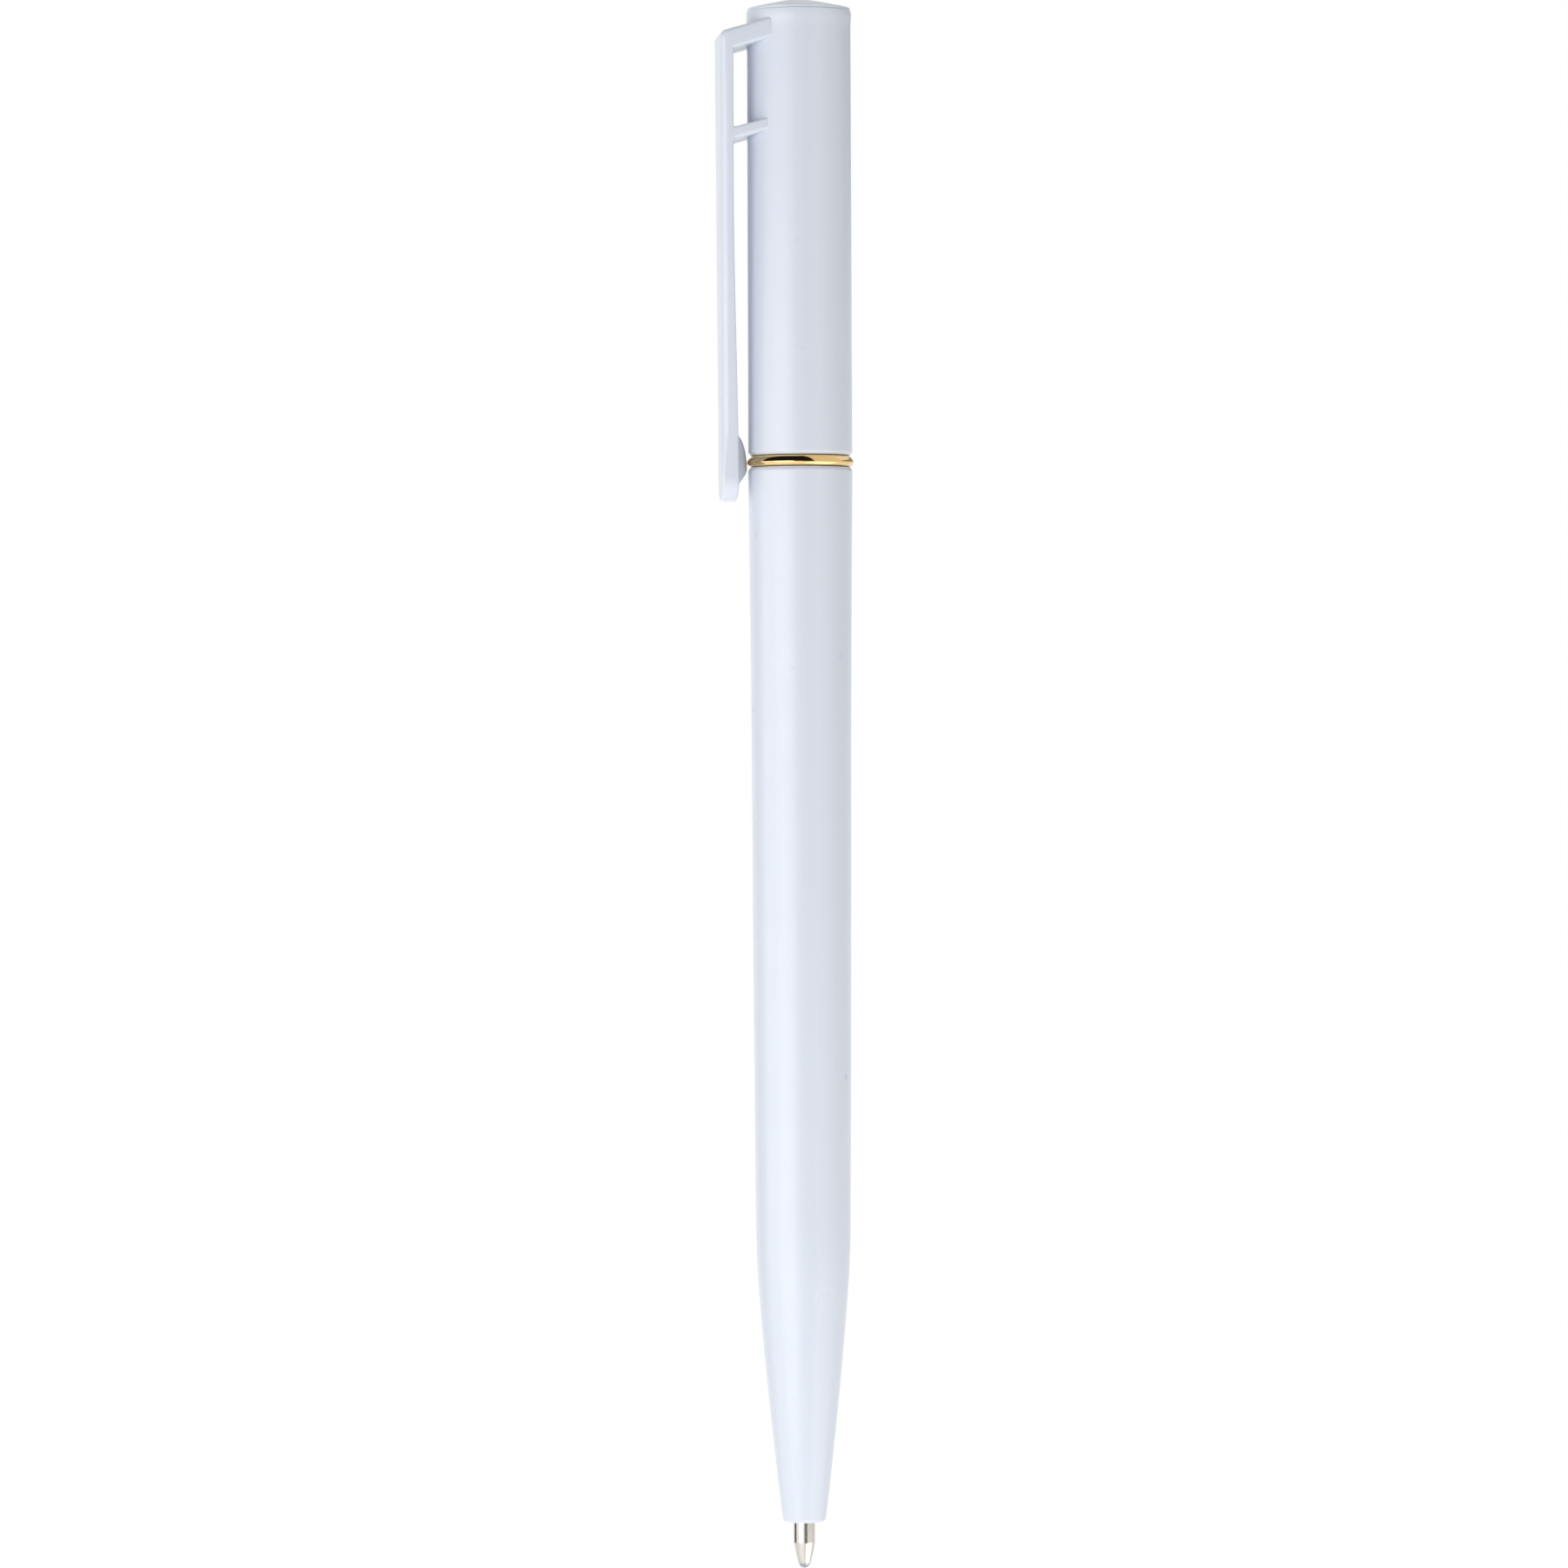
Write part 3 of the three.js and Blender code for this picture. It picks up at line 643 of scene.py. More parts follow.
@dataclass(frozen=True)
class TurnedMetal(Finish):
    """Metal turned on a lathe, then polished or plated.

    It mirrors the room, and the tool's fine rings stretch each reflection along the axis. The
    rings' pattern runs ring_squeeze times as fast across the axis as along it.
    """

    roughness_swing: float = 0.25
    patch_detail: float = 2.0
    ring_squeeze: float = 0.02

    def build(self) -> bpy.types.Material:
        """Makes the Blender material.

        Returns:
            The material.
        """
        material, tree = blank_material(self.name)
        place = add_node(tree, "ShaderNodeTexCoord").outputs["Object"]
        tone, gloss = self.drift(tree, place, self.roughness_swing, {
            "Detail": self.patch_detail,
        })
        # Rings: noise that is fine along the axis and nearly even across it
        rings = add_node(tree, "ShaderNodeMapping", {
            "Scale": (self.ring_squeeze, self.ring_squeeze, 1.0),
        }, {"Vector": place})
        self.cover(tree, rings.outputs["Vector"], tone, gloss, {"Metallic": 1.0})
        return material


# ABS, injection moulded: cool white, satin, with soft broad highlights
SHELL = MouldedPlastic(
    "moulded_abs", colour="#DFE5EF", shade_colour="#DBE1EC", roughness=0.3, patch_size=6.0,
    relief_size=0.3, relief_height=0.0008, ior=1.54, smudge_colour="#B9C4D6",
)
# Acetal, injection moulded: dull, slightly creamy white
ACETAL = MouldedPlastic(
    "moulded_acetal", colour="#F0EFE9", shade_colour="#EAE9E2", roughness=0.45, patch_size=3.0,
    relief_size=0.25, relief_height=0.002, ior=1.48,
)
# Polypropylene, extruded: milky and slightly waxy
POLYPROPYLENE = MouldedPlastic(
    "extruded_polypropylene", colour="#DDE2E6", shade_colour="#D4DADF", roughness=0.35,
    patch_size=8.0, relief_size=0.6, relief_height=0.001, ior=1.49,
)
# Ballpoint ink, a thick paste of blue dye: nearly black in bulk, wet at its surface
INK = MouldedPlastic(
    "ballpoint_ink", colour="#101C4C", shade_colour="#0A1238", roughness=0.15, patch_size=2.0,
    relief_size=0.5, relief_height=0.001, ior=1.5,
)
# Brass, turned, polished and gold plated: warm mirror with faint rings
GOLD = TurnedMetal(
    "gold_plated_brass", colour="#ECCF98", shade_colour="#E3C284", roughness=0.1,
    patch_size=1.5, relief_size=0.12, relief_height=0.0004,
)
# Nickel silver, turned and polished: bright and slightly warm
NICKEL_SILVER = TurnedMetal(
    "turned_nickel_silver", colour="#CFCBC4", shade_colour="#C3BFB8", roughness=0.14,
    patch_size=0.6, relief_size=0.08, relief_height=0.0006,
)
# Tungsten carbide, ground and lapped: dark grey mirror
CARBIDE = TurnedMetal(
    "lapped_tungsten_carbide", colour="#A5A7AB", shade_colour="#9A9CA0", roughness=0.12,
    patch_size=0.3, relief_size=0.05, relief_height=0.0002,
)
# Stainless steel, drawn into wire: bright with fine drawing lines
STEEL = TurnedMetal(
    "drawn_stainless_steel", colour="#BFC3C7", shade_colour="#B3B7BB", roughness=0.22,
    patch_size=0.8, relief_size=0.1, relief_height=0.0008,
)

FINISH_OF_SLOT = {
    Slot.BARREL: SHELL,
    Slot.RING: GOLD,
    Slot.MECHANISM: ACETAL,
    Slot.REFILL: POLYPROPYLENE,
    Slot.INK: INK,
    Slot.POINT: NICKEL_SILVER,
    Slot.BALL: CARBIDE,
    Slot.SPRING: STEEL,
}


class Wardrobe:
    """Dresses pieces, making each finish once."""

    def __init__(self) -> None:
        """Starts with no finish made."""
        self.made: dict[str, bpy.types.Material] = {}

    def dress(self, piece: bpy.types.Object, slot: Slot, node: str) -> None:
        """Gives a piece the finish of a record slot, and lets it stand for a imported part.

        Args:
            piece: the object.
            slot: the record's slot.
            node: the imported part.
        """
        finish = FINISH_OF_SLOT[slot]
        if finish.name not in self.made:
            self.made[finish.name] = finish.build()
        piece.data.materials.clear()
        piece.data.materials.append(self.made[finish.name])
        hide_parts(node)

    def seat(self, piece: bpy.types.Object, slot: Slot, body: Body, node: str) -> None:
        """Dresses a piece and puts it on its body.

        Args:
            piece: the object.
            slot: the record's slot.
            body: the body that it rides on.
            node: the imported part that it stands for.
        """
        self.dress(piece, slot, node)
        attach(piece, body.value)
        log.info("%s: %d faces, on %s", piece.name, len(piece.data.polygons), body.value)

    def span(self, piece: bpy.types.Object, slot: Slot, near: tuple[Body, float],
             far: tuple[Body, float], node: str) -> None:
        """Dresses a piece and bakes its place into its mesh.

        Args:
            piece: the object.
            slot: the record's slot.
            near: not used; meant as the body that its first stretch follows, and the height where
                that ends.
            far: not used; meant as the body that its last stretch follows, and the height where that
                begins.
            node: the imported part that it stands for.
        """
        self.dress(piece, slot, node)
        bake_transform(piece)


class SubAssembly(ABC):
    """A part of the pen that is made and dressed on its own."""

    @abstractmethod
    def build(self, wardrobe: Wardrobe) -> None:
        """Makes and dresses its pieces.

        Args:
            wardrobe: what dresses them.
        """


@dataclass
class LowerBarrel(SubAssembly):
    """The lower barrel with its nose, and the gold ring on its neck."""

    # The outside, from the nose up: slopes are radius over height
    nose_end_radius: float = 1.9
    nose_edge: float = 0.38
    nose_end_slope: float = 0.121
    cone_length: float = 21.15
    cone_radius: float = 4.02
    cone_slope: float = 0.073
    blend_length: float = 6.25
    grip_radius: float = 4.236
    grip_slope: float = 0.0075
    waist_length: float = 36.5
    waist_radius: float = 4.425
    waist_slope: float = 0.003
    shoulder_slope: float = 0.0115
    chamfer_width: float = 0.18
    chamfer_height: float = 0.3
    # The bores and the neck
    nose_bore: float = 1.15
    spring_bore: float = 1.8
    bore: float = 2.85
    neck_radius: float = 3.55
    # The roundings
    nose_bore_edge: float = 0.12
    side_edge: float = 0.3
    shoulder_edge: float = 0.12
    neck_edge: float = 0.15
    grip_bore_edge: float = 1.0
    chamber_edge: float = 0.5
    # The ring
    ring_lip_radius: float = 4.34
    ring_foot_radius: float = 4.46
    ring_crest_share: float = 0.38
    ring_power: float = 1.6
    ring_bore_edge: float = 0.06

    def outside(self, barrel: Extent, shoulder: float) -> np.ndarray:
        """The barrel's side from its nose to its shoulder.

        Args:
            barrel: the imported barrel's extent.
            shoulder: height of the shoulder under the ring.

        Returns:
            Its points, without rounding.
        """
        nose = (self.nose_end_radius, barrel.foot)
        cone = (self.cone_radius, barrel.foot + self.cone_length)
        grip = (self.grip_radius, cone[1] + self.blend_length)
        waist = (self.waist_radius, grip[1] + self.waist_length)
        top = (barrel.radius, shoulder - self.chamfer_height)
        return np.concatenate([
            side(nose, self.nose_end_slope, cone, self.cone_slope),
            side(cone, self.cone_slope, grip, self.grip_slope)[1:],
            side(grip, self.grip_slope, waist, self.waist_slope)[1:],
            side(waist, self.waist_slope, top, self.shoulder_slope)[1:],
        ])

    def make_barrel(self) -> bpy.types.Object:
        """Turns the lower barrel.

        Returns:
            The piece.
        """
        barrel = Extent.of("lower_barrel")
        shoulder = Extent.of("centre_ring").foot - SEAT_GAP
        spring_floor = Extent.of("return_spring").foot - SEAT_GAP
        chamber_top = Extent.of("refill_socket").foot + SEAT_GAP
        bore_foot = barrel.foot + self.cone_length + self.blend_length
        outside = self.outside(barrel, shoulder)
        return turned("lower_barrel_moulding", [
            (self.nose_bore, barrel.foot, self.nose_bore_edge),
            (*outside[0], self.nose_edge),
            outside[1:-1],
            (*outside[-1], self.side_edge),
            (barrel.radius - self.chamfer_width, shoulder, self.shoulder_edge),
            (self.neck_radius, shoulder),
            (self.neck_radius, barrel.top, self.neck_edge),
            (self.bore, barrel.top, self.neck_edge),
            (self.bore, bore_foot, self.grip_bore_edge),
            (self.spring_bore, chamber_top, self.chamber_edge),
            (self.spring_bore, spring_floor),
            (self.nose_bore, spring_floor),
        ])

    def bead(self, start: float, crest: float, reach: float, rise: float) -> np.ndarray:
        """One side of the ring, a quarter of the curve |x / a|^n + |z / b|^n = 1.

        Args:
            start: radius where the curve starts.
            crest: height of the ring's fullest circle.
            reach: a, how far out it goes.
            rise: b, how far it goes up from the crest, or down if below 0.

        Returns:
            Its points, from the crest on.
        """
        turn = np.linspace(0.0, math.pi / 2, BEAD_STEPS + 1)
        return np.column_stack([
            start + reach * np.cos(turn) ** (2 / self.ring_power),
            crest + rise * np.sin(turn) ** (2 / self.ring_power),
        ])

    def make_ring(self) -> bpy.types.Object:
        """Turns the ring: a bead with a slight ridge, fullest below its middle.

        Returns:
            The piece.
        """
        ring = Extent.of("centre_ring")
        crest = ring.foot + self.ring_crest_share * (ring.top - ring.foot)
        lower = self.bead(self.ring_foot_radius, crest, ring.radius - self.ring_foot_radius,
                          ring.foot - crest)[::-1]
        upper = self.bead(self.ring_lip_radius, crest, ring.radius - self.ring_lip_radius,
                          ring.top - crest)
        bore = self.neck_radius + SEAT_GAP
        return turned("gold_ring", [
            (bore, ring.foot, self.ring_bore_edge),
            lower,
            upper[1:],
            (bore, ring.top, self.ring_bore_edge),
        ])

    def build(self, wardrobe: Wardrobe) -> None:
        """Makes and dresses both pieces."""
        wardrobe.seat(self.make_barrel(), Slot.BARREL, Body.LOWER, "lower_barrel")
        wardrobe.seat(self.make_ring(), Slot.RING, Body.LOWER, "centre_ring")


@dataclass
class UpperBarrel(SubAssembly):
    """The upper barrel's shell, and the domed plug in its top."""

    # The shell, which swells by rim_bead just under its rim
    foot_radius: float = 4.65
    top_radius: float = 4.625
    chamfer_width: float = 0.23
    chamfer_height: float = 0.26
    bore: float = 3.65
    head_bore: float = 3.5
    rim_bead: float = 0.045
    rim_bead_drop: float = 0.42
    rim_bead_spread: float = 0.6
    rim_bead_reach: float = 4.0
    rim_chamfer: float = 0.05
    # Its roundings
    foot_bore_edge: float = 0.08
    foot_edge: float = 0.06
    foot_chamfer_edge: float = 0.2
    rim_chamfer_edge: float = 0.03
    rim_edge: float = 0.02
    rim_bore_edge: float = 0.06
    # The plug
    plug_edge: float = 0.08
    plug_gap: float = 0.004
    plug_dome_height: float = 0.84
    plug_cone_share: float = 0.8
    plug_tip: float = 0.15
    plug_stem_wall: float = 0.9
    plug_stem_edge: float = 0.2
    plug_hollow_edge: float = 0.1
    plug_seam_edge: float = 0.03

    def make_shell(self) -> bpy.types.Object:
        """Turns the shell. Just under its rim it swells a little.

        Returns:
            The piece.
        """
        rim = Extent.of("upper_barrel").top
        foot = Extent.of("upper_barrel").foot
        cam_top = Extent.of("cam_tube").top + SEAT_GAP
        low = foot + self.chamfer_height
        high = rim - self.rim_chamfer
        near = high - self.rim_bead_reach * self.rim_bead_spread
        height = np.concatenate([
            np.linspace(low, near, SIDE_STEPS, endpoint=False),
            np.linspace(near, high, SIDE_STEPS),
        ])
        taper = (self.top_radius - self.foot_radius) * (height - low) / (high - low)
        fall = (height - rim + self.rim_bead_drop) / self.rim_bead_spread
        radius = self.foot_radius + taper + self.rim_bead * np.exp(-fall ** 2)
        outside = np.column_stack([radius, height])
        return turned("upper_barrel_moulding", [
            (self.bore, foot, self.foot_bore_edge),
            (self.foot_radius - self.chamfer_width, foot, self.foot_edge),
            (*outside[0], self.foot_chamfer_edge),
            outside[1:-1],
            (*outside[-1], self.rim_chamfer_edge),
            (outside[-1, 0] - self.rim_chamfer, rim, self.rim_edge),
            (self.head_bore, rim, self.rim_bore_edge),
            (self.head_bore, cam_top),
            (self.bore, cam_top),
        ])

    def make_plug(self) -> bpy.types.Object:
        """Turns the plug: a shallow dome on a hollow stem.

        At a share u of its radius the dome is down by H (k r(u) + (1 - k) u^2), with H its
        height, k the cone's share in it and r(u) = (sqrt(u^2 + t^2) - t) / (sqrt(1 + t^2) - t),
        a cone whose tip is rounded by t.

        Returns:
            The piece.
        """
        plug = Extent.of("top_plug")
        seat = Extent.of("upper_barrel").top + self.plug_gap
        edge = plug.top - self.plug_dome_height
        stem = self.head_bore - SEAT_GAP
        hollow = stem - self.plug_stem_wall
        share = np.linspace(1.0, 0.0, DOME_STEPS + 1)
        tip = self.plug_tip
        cone = (np.sqrt(share ** 2 + tip ** 2) - tip) / (math.hypot(1.0, tip) - tip)
        fall = self.plug_cone_share * cone + (1 - self.plug_cone_share) * share ** 2
        dome = np.column_stack([
            plug.radius * share, plug.top - self.plug_dome_height * fall,
        ])
        return turned("domed_plug", [
            (0.0, seat),
            (hollow, seat, self.plug_hollow_edge),
            (hollow, plug.foot, self.plug_hollow_edge),
            (stem, plug.foot, self.plug_stem_edge),
            (stem, seat),
            (plug.radius, seat, self.plug_seam_edge),
            (plug.radius, edge, self.plug_edge),
            dome[2:-1],
            (0.0, plug.top),
        ])

    def build(self, wardrobe: Wardrobe) -> None:
        """Makes and dresses both pieces."""
        wardrobe.seat(self.make_shell(), Slot.BARREL, Body.UPPER, "upper_barrel")
        wardrobe.seat(self.make_plug(), Slot.BARREL, Body.UPPER, "top_plug")


@dataclass
class PocketClip(SubAssembly):
    """The clip: a tapering plate with a round end, on two struts that slope up to the barrel.

    In the side view, out is the distance from the pen's axis towards the clip.
    """

    # Radius of the barrel it grows from, and the radius in its wall where the struts begin
    barrel_radius: float = 4.625
    root: float = 4.4
    # The plate
    gap: float = 1.52
    lean: float = 0.15
    half_top: float = 3.8
    end_half_width: float = 2.6
    corner_radius: float = 0.6
    inner_fillet: float = 0.2
    outer_edge: float = 0.65
    inner_edge: float = 0.18
    end_edge: float = 0.2
    end_length: float = 2.4
    end_power: float = 2.5
    # The struts: how far under the rim they leave the barrel, and how high they are
    strut_slope: float = 0.285
    strut_drop: float = 1.31
    strut_height: float = 1.85
    strut_top_edge: float = 0.22
    strut_foot_edge: float = 0.4
    second_drop: float = 10.16
    second_height: float = 1.12
    second_fillet: float = 0.18
    second_inset: float = 0.005
    second_overlap: float = 0.4
    # The swell of the inner face, and the bump at its end
    flare_rate: float = 0.0155
    flare_ease: float = 4.0
    flare_start: float = 20.47
    bump_height: float = 2.94
    bump_crest: float = 4.79
    bump_upper: float = 3.03
    bump_lower: float = 2.15
    bump_half_width: float = 1.2
    bump_power: float = 0.47
    bump_margin: float = 0.1
    # The stretch that bends
    flex_length: float = 8.0

    def __post_init__(self) -> None:
        """Reads the clip's places from the frame."""
        head, arm = Extent.of("upper_barrel"), Extent.of("clip_arm")
        self.rim, self.end = head.top, arm.foot
        self.outer, self.inner = head.clip_side, self.barrel_radius + self.gap
        self.end_centre = self.end + self.end_length
        self.flex = arm.top

    def outer_at(self, height: np.ndarray) -> np.ndarray:
        """Distance out of the plate's outer face, which leans in evenly to its end."""
        return self.outer - self.lean * (self.rim - height) / (self.rim - self.end)

    def inner_at(self, height: np.ndarray) -> np.ndarray:
        """Distance out of its inner face: level, then easing into a steady swell."""
        below = self.rim - self.flare_start - height
        return self.inner - self.flare_rate / 2 * (
            below + np.sqrt(below ** 2 + self.flare_ease ** 2)
        )

    def half_width_at(self, height: np.ndarray) -> np.ndarray:
        """Half the plate's width, which tapers evenly to the round end's."""
        share = np.clip((self.rim - height) / (self.rim - self.end_centre), 0.0, 1.0)
        return self.half_top + (self.end_half_width - self.half_top) * share

    def bump_at(self, across: np.ndarray, height: np.ndarray) -> np.ndarray:
        """How far the bump stands in from the inner face.

        Along the pen it falls as (1 - s^2)^bump_power above its crest and as half a cosine
        wave below it, and across the pen as half an ellipse.

        Args:
            across: distance from the clip's middle plane.
            height: height of the point.

        Returns:
            The rise at each point.
        """
        crest = self.end + self.bump_height
        rise = self.inner_at(crest) - self.bump_crest
        up = (height - crest) / self.bump_upper
        down = np.clip((crest - height) / self.bump_lower, 0.0, 1.0)
        upper = np.clip(1 - up ** 2, 0.0, 1.0) ** self.bump_power
        lower = 0.5 + 0.5 * np.cos(math.pi * down)
        shape = np.where(height > crest, upper, lower)
        return rise * shape * np.sqrt(np.clip(1 - (across / self.bump_half_width) ** 2, 0, 1))

    def strut_top(self, out: np.ndarray, drop: float) -> np.ndarray:
        """Height of a strut's top face, which slopes down outwards."""
        return self.rim - drop - self.strut_slope * (out - self.barrel_radius)

    def insets(self, half: np.ndarray, edge: np.ndarray) -> np.ndarray:
        """Distances of the columns from the edge, crowded in the rounding and even past it.

        Args:
            half: half width at each station.
            edge: radius of the rounded edge at each station.

        Returns:
            Distances by station and column, the last column at the middle.
        """
        bend = edge[:, None] * (1 - np.cos(np.linspace(0.0, math.pi / 2, EDGE_COLUMNS)))
        start = edge[:, None] + FLAT_SUPPORT
        flat = start + (half[:, None] - start) * np.linspace(0.0, 1.0, FLAT_COLUMNS)
        return np.concatenate([bend, flat], axis=1)

    def face(self, half: np.ndarray, past: np.ndarray,
             edge: np.ndarray) -> tuple[np.ndarray, np.ndarray]:
        """Places the columns of one face from one edge to the other.

        Past the round end's centre the columns are squarish ovals about it: at a distance p
        past the centre, a column c from the middle is at (max(c, p)^n - p^n)^(1/n) across, with
        n the end's power. Near the edge the face rolls over by a quarter circle of radius e: at
        a distance d from the edge it is down by e - sqrt(e^2 - (e - d)^2).

        Args:
            half: half width at each station.
            past: distance past the round end's centre at each station, else 0.
            edge: radius of the rounded edge at each station.

        Returns:
            The distances across and the rolls, by station and column.
        """
        span = np.maximum(half[:, None] - self.insets(half, edge), past[:, None])
        power = np.where(past[:, None] > 0, self.end_power, 1.0)
        across = np.maximum(span ** power - past[:, None] ** power, 0.0) ** (1 / power)
        left = edge[:, None] - np.clip(half[:, None] - span, 0.0, edge[:, None])
        roll = edge[:, None] - np.sqrt(np.maximum(edge[:, None] ** 2 - left ** 2, 0.0))
        return (np.concatenate([across, -across[:, ::-1]], axis=1),
                np.concatenate([roll, roll[:, ::-1]], axis=1))

    def section(self, outer: np.ndarray, inner: np.ndarray, half: np.ndarray,
                past: np.ndarray, outer_edge: np.ndarray,
                inner_edge: np.ndarray) -> tuple[np.ndarray, int]:
        """Carries a flat section with rounded edges along its two faces' middle lines.

        Args:
            outer: [out, height] of the outer face's middle at each station.
            inner: the same of the inner face.
            half: half width at each station.
            past: distance past the round end's centre at each station, else 0.
            outer_edge: radius of the outer face's edges at each station.
            inner_edge: radius of the inner face's edges.

        Returns:
            Places as [out, across, height] with the columns round the section, and how many
            of them lie on the outer face.
        """
        step = inner - outer
        inward = (step / np.linalg.norm(step, axis=1)[:, None])[:, None, :]
        front_across, front_roll = self.face(half, past, outer_edge)
        back_across, back_roll = self.face(half, past, inner_edge)
        front = outer[:, None, :] + inward * front_roll[..., None]
        back = inner[:, None, :] - inward * back_roll[..., None]
        ring = np.concatenate([front, back[:, ::-1]], axis=1)
        wide = np.concatenate([front_across, back_across[:, ::-1]], axis=1)
        places = np.stack([ring[..., 0], wide, ring[..., 1]], axis=-1)
        return places, front_across.shape[1]

    def edge_along(self, strut: float, plate: float) -> np.ndarray:
        """Radius of one rounded edge of the clip, which changes evenly between its sizes.

        Args:
            strut: radius at the upper strut's root.
            plate: radius along the plate.

        Returns:
            The radius at each station from the strut's root to the end.
        """
        return np.concatenate([
            np.linspace(strut, plate, STRUT_STATIONS + BEND_STATIONS),
            np.full(HEAD_STATIONS + PLATE_STATIONS, plate),
            np.linspace(plate, self.end_edge, PLATE_STATIONS),
            np.full(len(self.end_steps()), self.end_edge),
        ])

    def end_steps(self) -> np.ndarray:
        """Distances past the round end's centre of its stations."""
        half, edge = np.array([self.end_half_width]), np.array([self.end_edge])
        return np.maximum(self.end_half_width - self.insets(half, edge)[0, ::-1], 0.0)

    def wrap_root(self, places: np.ndarray) -> np.ndarray:
        """Bends a strut's inner end to the barrel's roundness.

        A point at the root moves in by the barrel's own fall, root - sqrt(root^2 - across^2),
        along the strut's slope, and less the further out it is.

        Args:
            places: [out, across, height] points.

        Returns:
            The bent points.
        """
        out, across, height = places[..., 0], places[..., 1], places[..., 2]
        fall = self.root - np.sqrt(np.maximum(self.root ** 2 - across ** 2, 0.0))
        fade = np.clip((self.inner - out) / (self.inner - self.root), 0.0, 1.0)
        moved = fall * fade
        return np.stack([out - moved, across, height + self.strut_slope * moved], axis=-1)

    def to_frame(self, places: np.ndarray) -> np.ndarray:
        """Turns [out, across, height] into the frame's X, Y and Z."""
        return np.stack([-places[..., 0], places[..., 1], places[..., 2]], axis=-1)

    def corner_lines(self) -> tuple[np.ndarray, np.ndarray]:
        """The upper strut's two faces and the arcs that turn them into the plate's.

        Returns:
            The outer and inner face's middle points, as [out, height].
        """
        slant = math.atan(self.strut_slope)
        outer_centre = self.outer - self.corner_radius
        touch = outer_centre + self.corner_radius * math.sin(slant)
        outer_rise = (self.strut_top(touch, self.strut_drop)
                      - self.corner_radius * math.cos(slant))
        outer_bend = arc((outer_centre, outer_rise), (self.corner_radius, self.corner_radius),
                         math.pi / 2 - slant, 0.0, BEND_STATIONS - 1)
        inner_centre = self.inner - self.inner_fillet
        inner_rise = (self.strut_top(inner_centre, self.strut_drop) - self.strut_height
                      - self.inner_fillet / math.cos(slant))
        inner_bend = arc((inner_centre, inner_rise), (self.inner_fillet, self.inner_fillet),
                         math.pi / 2 - slant, 0.0, BEND_STATIONS - 1)
        share = np.linspace(0.0, 1.0, STRUT_STATIONS, endpoint=False)
        top_out = self.root + (touch - self.root) * share
        low_out = self.root + (inner_bend[0, 0] - self.root) * share
        top = self.strut_top(top_out, self.strut_drop)
        low = self.strut_top(low_out, self.strut_drop) - self.strut_height
        return (np.concatenate([np.column_stack([top_out, top]), outer_bend]),
                np.concatenate([np.column_stack([low_out, low]), inner_bend]))

    def plate_stations(self) -> tuple[np.ndarray, np.ndarray, np.ndarray, np.ndarray]:
        """The clip's stations from the upper strut's root to the round end.

        Returns:
            The outer and inner face's middle points, the half widths, and the distances past
            the round end's centre.
        """
        meet = self.rim - self.second_drop
        bump_top = self.end + self.bump_height + self.bump_upper + self.bump_margin
        end = self.end_steps()
        fall = np.linspace(0.0, 1.0, HEAD_STATIONS + 1)[1:]
        lower = np.concatenate([
            np.linspace(meet, bump_top, PLATE_STATIONS + 1)[1:],
            np.linspace(bump_top, self.end_centre, PLATE_STATIONS + 1)[1:],
            self.end_centre - end * self.end_length / self.end_half_width,
        ])
        faces = []
        for head, face_at in zip(self.corner_lines(), (self.outer_at, self.inner_at)):
            rise = head[-1, 1]
            height = np.concatenate([rise + (meet - rise) * fall, lower])
            faces.append(np.concatenate([head, np.column_stack([face_at(height), height])]))
        outer, inner = faces
        half = self.half_width_at((outer[:, 1] + inner[:, 1]) / 2)
        past = np.concatenate([np.zeros(len(outer) - len(end)), end])
        return outer, inner, half, past

    def make_plate(self) -> bpy.types.Object:
        """Makes the plate with its upper strut and its bump, as one closed surface.

        Returns:
            The piece.
        """
        outer, inner, half, past = self.plate_stations()
        places, front = self.section(
            outer, inner, half, past,
            self.edge_along(self.strut_top_edge, self.outer_edge),
            self.edge_along(self.strut_foot_edge, self.inner_edge),
        )
        across, height = places[:, front:, 1], places[:, front:, 2]
        places[:, front:, 0] -= self.bump_at(across, height)
        return self.close("pocket_clip", self.wrap_root(places))

    def make_second_strut(self) -> bpy.types.Object:
        """Makes the lower strut, which flares into the plate's inner face by a small fillet.

        Returns:
            The solid, to be joined to the plate.
        """
        out = np.concatenate([
            np.linspace(self.root, self.inner - self.second_fillet, STRUT_STATIONS,
                        endpoint=False),
            np.linspace(self.inner - self.second_fillet, self.inner, STRUT_STATIONS),
            [self.inner + self.second_overlap],
        ])
        near = np.clip(self.second_fillet - (self.inner - out), 0.0, self.second_fillet)
        flare = self.second_fillet - np.sqrt(self.second_fillet ** 2 - near ** 2)
        top = np.column_stack([out, self.strut_top(out, self.second_drop) + flare])
        low = np.column_stack([
            out, self.strut_top(out, self.second_drop) - self.second_height - flare,
        ])
        half = self.half_width_at((top[:, 1] + low[:, 1]) / 2) - self.second_inset
        even = np.ones(len(out))
        places, _ = self.section(top, low, half, 0 * even, self.strut_top_edge * even,
                                 self.strut_foot_edge * even)
        return self.close("second_strut", self.wrap_root(places), both_ends=True)

    def close(self, name: str, places: np.ndarray,
              both_ends: bool = False) -> bpy.types.Object:
        """Closes a carried section by drawing its end faces to their middle line.

        Args:
            name: the piece's name.
            places: points by station and column.
            both_ends: whether the last station is closed too.

        Returns:
            The solid.
        """
        mirrored = (places + places[:, ::-1]) / 2
        rows = [mirrored[:1], places] + ([mirrored[-1:]] if both_ends else [])
        grid = self.to_frame(np.concatenate(rows))
        return make_piece(name, grid.reshape(-1, 3), grid_faces(*grid.shape[:2], closed=False))

